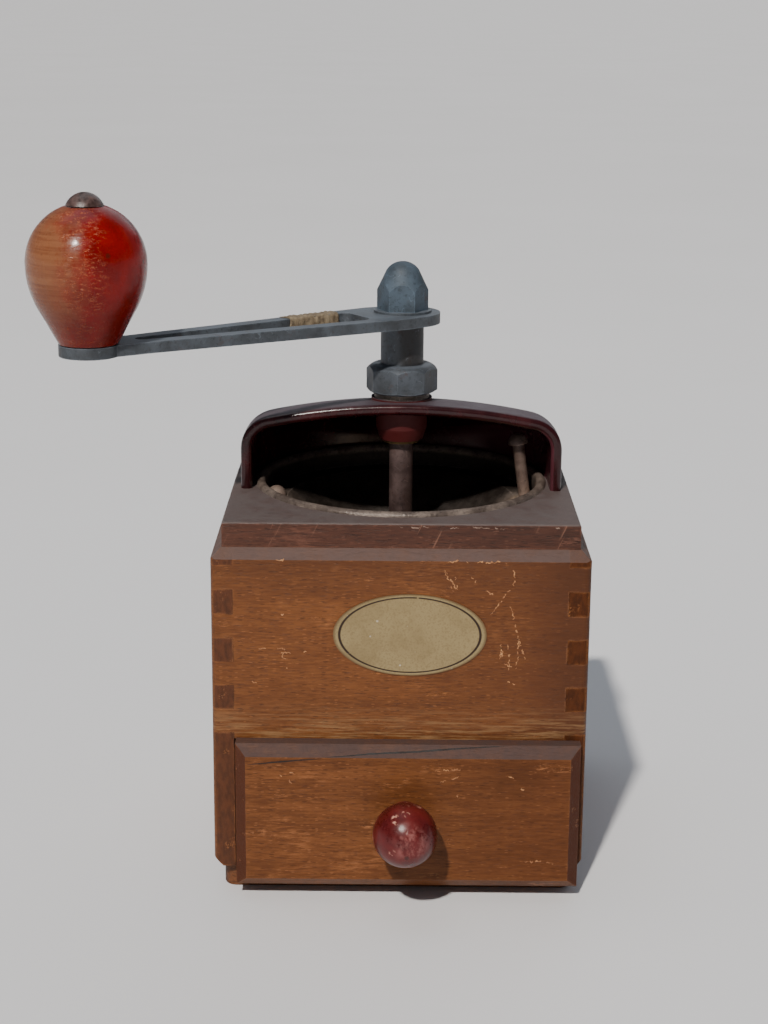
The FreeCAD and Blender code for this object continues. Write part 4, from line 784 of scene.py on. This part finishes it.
def tape_ring(along, film, lean):
    """A rounded ring round the bar, crinkled, and slanted at the ends of the tape."""
    middle = centre_of(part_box("crank_arm"))[2] / MILLIMETRE
    direction = Vector((math.cos(ARM_DIRECTION), math.sin(ARM_DIRECTION)))
    side = Vector((-direction[1], direction[0]))
    ring = []
    for number in range(RING_CORNERS):
        turn = 2 * math.pi * number / RING_CORNERS
        across = squared(math.cos(turn)) * (BAR_HALF_WIDTH + film)
        rise = squared(math.sin(turn)) * (BAR_HALF_THICKNESS + film)
        waves = 0.05 * math.sin(5 * turn + 1.3 * along) + 0.07 * math.sin(0.9 * along + 3 * turn)
        out = Vector((across, rise)) * (1 + film * waves)
        local = Vector((along + lean * math.sin(turn + 0.8), -far_bar_middle(along) + out[0]))
        spot = direction * local[0] + side * local[1]
        ring.append(Vector((spot[0], spot[1], middle + out[1])) * MILLIMETRE)
    return ring


def wound_tape():
    """The crinkled winding of tape that shows in place of the plain band."""
    rings = [tape_ring(WRAP_FROM + WRAP_TUCK, 0.0, FIRST_LEAN)]
    rings.append(tape_ring(WRAP_FROM, WRAP_FILM, FIRST_LEAN))
    for number in range(1, WRAP_ROWS):
        share = number / WRAP_ROWS
        along = WRAP_FROM + (WRAP_TO - WRAP_FROM) * share
        lean = FIRST_LEAN * (1 - share) + LAST_LEAN * share
        rings.append(tape_ring(along, WRAP_FILM * (1 + 0.25 * math.sin(1.7 * number)), lean))
    rings.append(tape_ring(WRAP_TO, WRAP_FILM, LAST_LEAN))
    rings.append(tape_ring(WRAP_TO - WRAP_TUCK, 0.0, LAST_LEAN))
    vertices = [point for ring in rings for point in ring]
    faces = []
    for row in range(len(rings) - 1):
        start, above = row * RING_CORNERS, (row + 1) * RING_CORNERS
        for number in range(RING_CORNERS):
            following = (number + 1) % RING_CORNERS
            faces.append((start + number, start + following, above + following, above + number))
    mesh = bpy.data.meshes.new("wound_tape")
    mesh.from_pydata(vertices, [], faces)
    mesh.update()
    for polygon in mesh.polygons:
        polygon.use_smooth = True
    mesh.materials.append(tan_tape())
    shown = added("wound_tape", mesh)
    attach(shown, "crank")
    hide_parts("arm_wrap")


wound_tape()
front_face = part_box("front_panel")[0][1] / MILLIMETRE
drawer_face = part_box("drawer_front")[0][1] / MILLIMETRE
board_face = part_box("top_board")[0][1] / MILLIMETRE
flaked_wood = bare_wood("flaked_wood", *FLAKED_WOOD)
front_flakes = flake_strips(FRONT_MARKS, front_face, FLAKE_WIDTH)
marked("front_flakes", "case", flaked_wood, front_flakes, FLAKE_GAPS)
flaked_board = bare_wood("flaked_board", *FLAKED_BOARD)
board_flakes = flake_strips(BOARD_MARKS, board_face, BOARD_FLAKE_WIDTH)
marked("board_flakes", "case", flaked_board, board_flakes, FLAKE_GAPS)
drawer_flakes = flake_strips(DRAWER_MARKS, drawer_face, FLAKE_WIDTH)
marked("drawer_flakes", "drawer", flaked_wood, drawer_flakes, FLAKE_GAPS)
slope = math.sqrt(0.5)
crack = [
    (CRACK_ON_FACE, (0, 0, 1), (0, -1, 0), FACE_CRACK_WIDTH),
    (CRACK_ON_BEVEL, (0, slope, slope), (0, -slope, slope), BEVEL_CRACK_WIDTH),
]
marked("drawer_crack", "drawer", bare_wood("open_crack", *OPEN_CRACK), crack)

# Floor
FLOOR_REACH = 60
floor_corners = [(FLOOR_REACH * x, FLOOR_REACH * y, 0) for x, y in ((-1, -1), (1, -1), (1, 1), (-1, 1))]
floor_mesh = bpy.data.meshes.new("floor")
floor_mesh.from_pydata(floor_corners, [], [(0, 1, 2, 3)])
floor = added("floor", floor_mesh)
floor_finish = Finish("pale_floor")
floor_cloud = floor_finish.noise((3, 3, 3), detail=3)
floor_colour = floor_finish.mix(colour(226, 226, 228), colour(234, 234, 237), floor_cloud)
floor_mesh.materials.append(floor_finish.done(floor_colour, 0.6))

# Light: a soft sky with a pale horizon, a key from the upper left in front, and faint fills
HORIZON = (0.70, 0.71, 0.73, 1)
UPPER_SKY = (0.125, 0.138, 0.16, 1)
HORIZON_FADE = (0.02, 0.14)
world = bpy.data.worlds.new("studio")
world.use_nodes = True
sky_nodes, sky_links = world.node_tree.nodes, world.node_tree.links
sky_direction = sky_nodes.new("ShaderNodeTexCoord").outputs["Generated"]
sky_height = sky_nodes.new("ShaderNodeSeparateXYZ")
sky_links.new(sky_direction, sky_height.inputs[0])
haze = sky_nodes.new("ShaderNodeMapRange")
haze.interpolation_type = "SMOOTHSTEP"
haze.inputs["From Min"].default_value, haze.inputs["From Max"].default_value = HORIZON_FADE
sky_links.new(sky_height.outputs["Z"], haze.inputs["Value"])
sky_colour = sky_nodes.new("ShaderNodeMix")
sky_colour.data_type = "RGBA"
sky_colour.inputs[6].default_value = HORIZON
sky_colour.inputs[7].default_value = UPPER_SKY
sky_links.new(haze.outputs["Result"], sky_colour.inputs[0])
sky_links.new(sky_colour.outputs[2], sky_nodes["Background"].inputs["Color"])
bpy.context.scene.world = world


def turned_to(direction):
    """The turn that points a light along a direction."""
    return Vector(direction).to_track_quat("-Z", "Y").to_matrix().to_4x4()


def panel(name, place, aim, size, power, tint):
    """A square light at a place, pointed at another."""
    light = bpy.data.lights.new(name, "AREA")
    light.shape = "RECTANGLE"
    light.size = light.size_y = size
    light.energy = power
    light.color = tint
    shown = added(name, light)
    shown.matrix_world = Matrix.Translation(place) @ turned_to(Vector(aim) - Vector(place))


def sunlight(name, direction, energy, spread, tint):
    """A far light along a direction, with its spread in degrees."""
    light = bpy.data.lights.new(name, "SUN")
    light.energy = energy
    light.angle = math.radians(spread)
    light.color = tint
    added(name, light).matrix_world = turned_to(direction)


sunlight("key", (0.206, 0.674, -0.710), energy=3.9, spread=2.5, tint=(1.0, 0.95, 0.88))
sunlight("back_fill", (-0.25, -0.82, -0.51), energy=0.3, spread=40, tint=(0.95, 0.97, 1.0))
panel("overhead", (-0.3, 0.3, 1.6), aim=(0, 0, 0.1), size=1.0, power=4, tint=(0.92, 0.96, 1.0))

# Camera at the photograph's angle
CAMERA_PLACE = (-0.003804, -0.654970, 0.288576)
RIGHTWARD = Vector((0.99996, 0.00488, 0.00766))
DOWNWARD = Vector((0.00866, -0.25950, -0.96570))
FORWARD = Vector((-0.00272, 0.96573, -0.25953))
camera_data = bpy.data.cameras.new("camera")
camera_data.sensor_fit = "AUTO"
camera_data.sensor_width = 36
camera_data.lens = 69.6
camera_data.clip_start = 0.01
camera = added("camera", camera_data)
pose = Matrix((RIGHTWARD, -DOWNWARD, -FORWARD)).transposed().to_4x4()
pose.translation = CAMERA_PLACE
camera.matrix_world = pose
bpy.context.scene.camera = camera
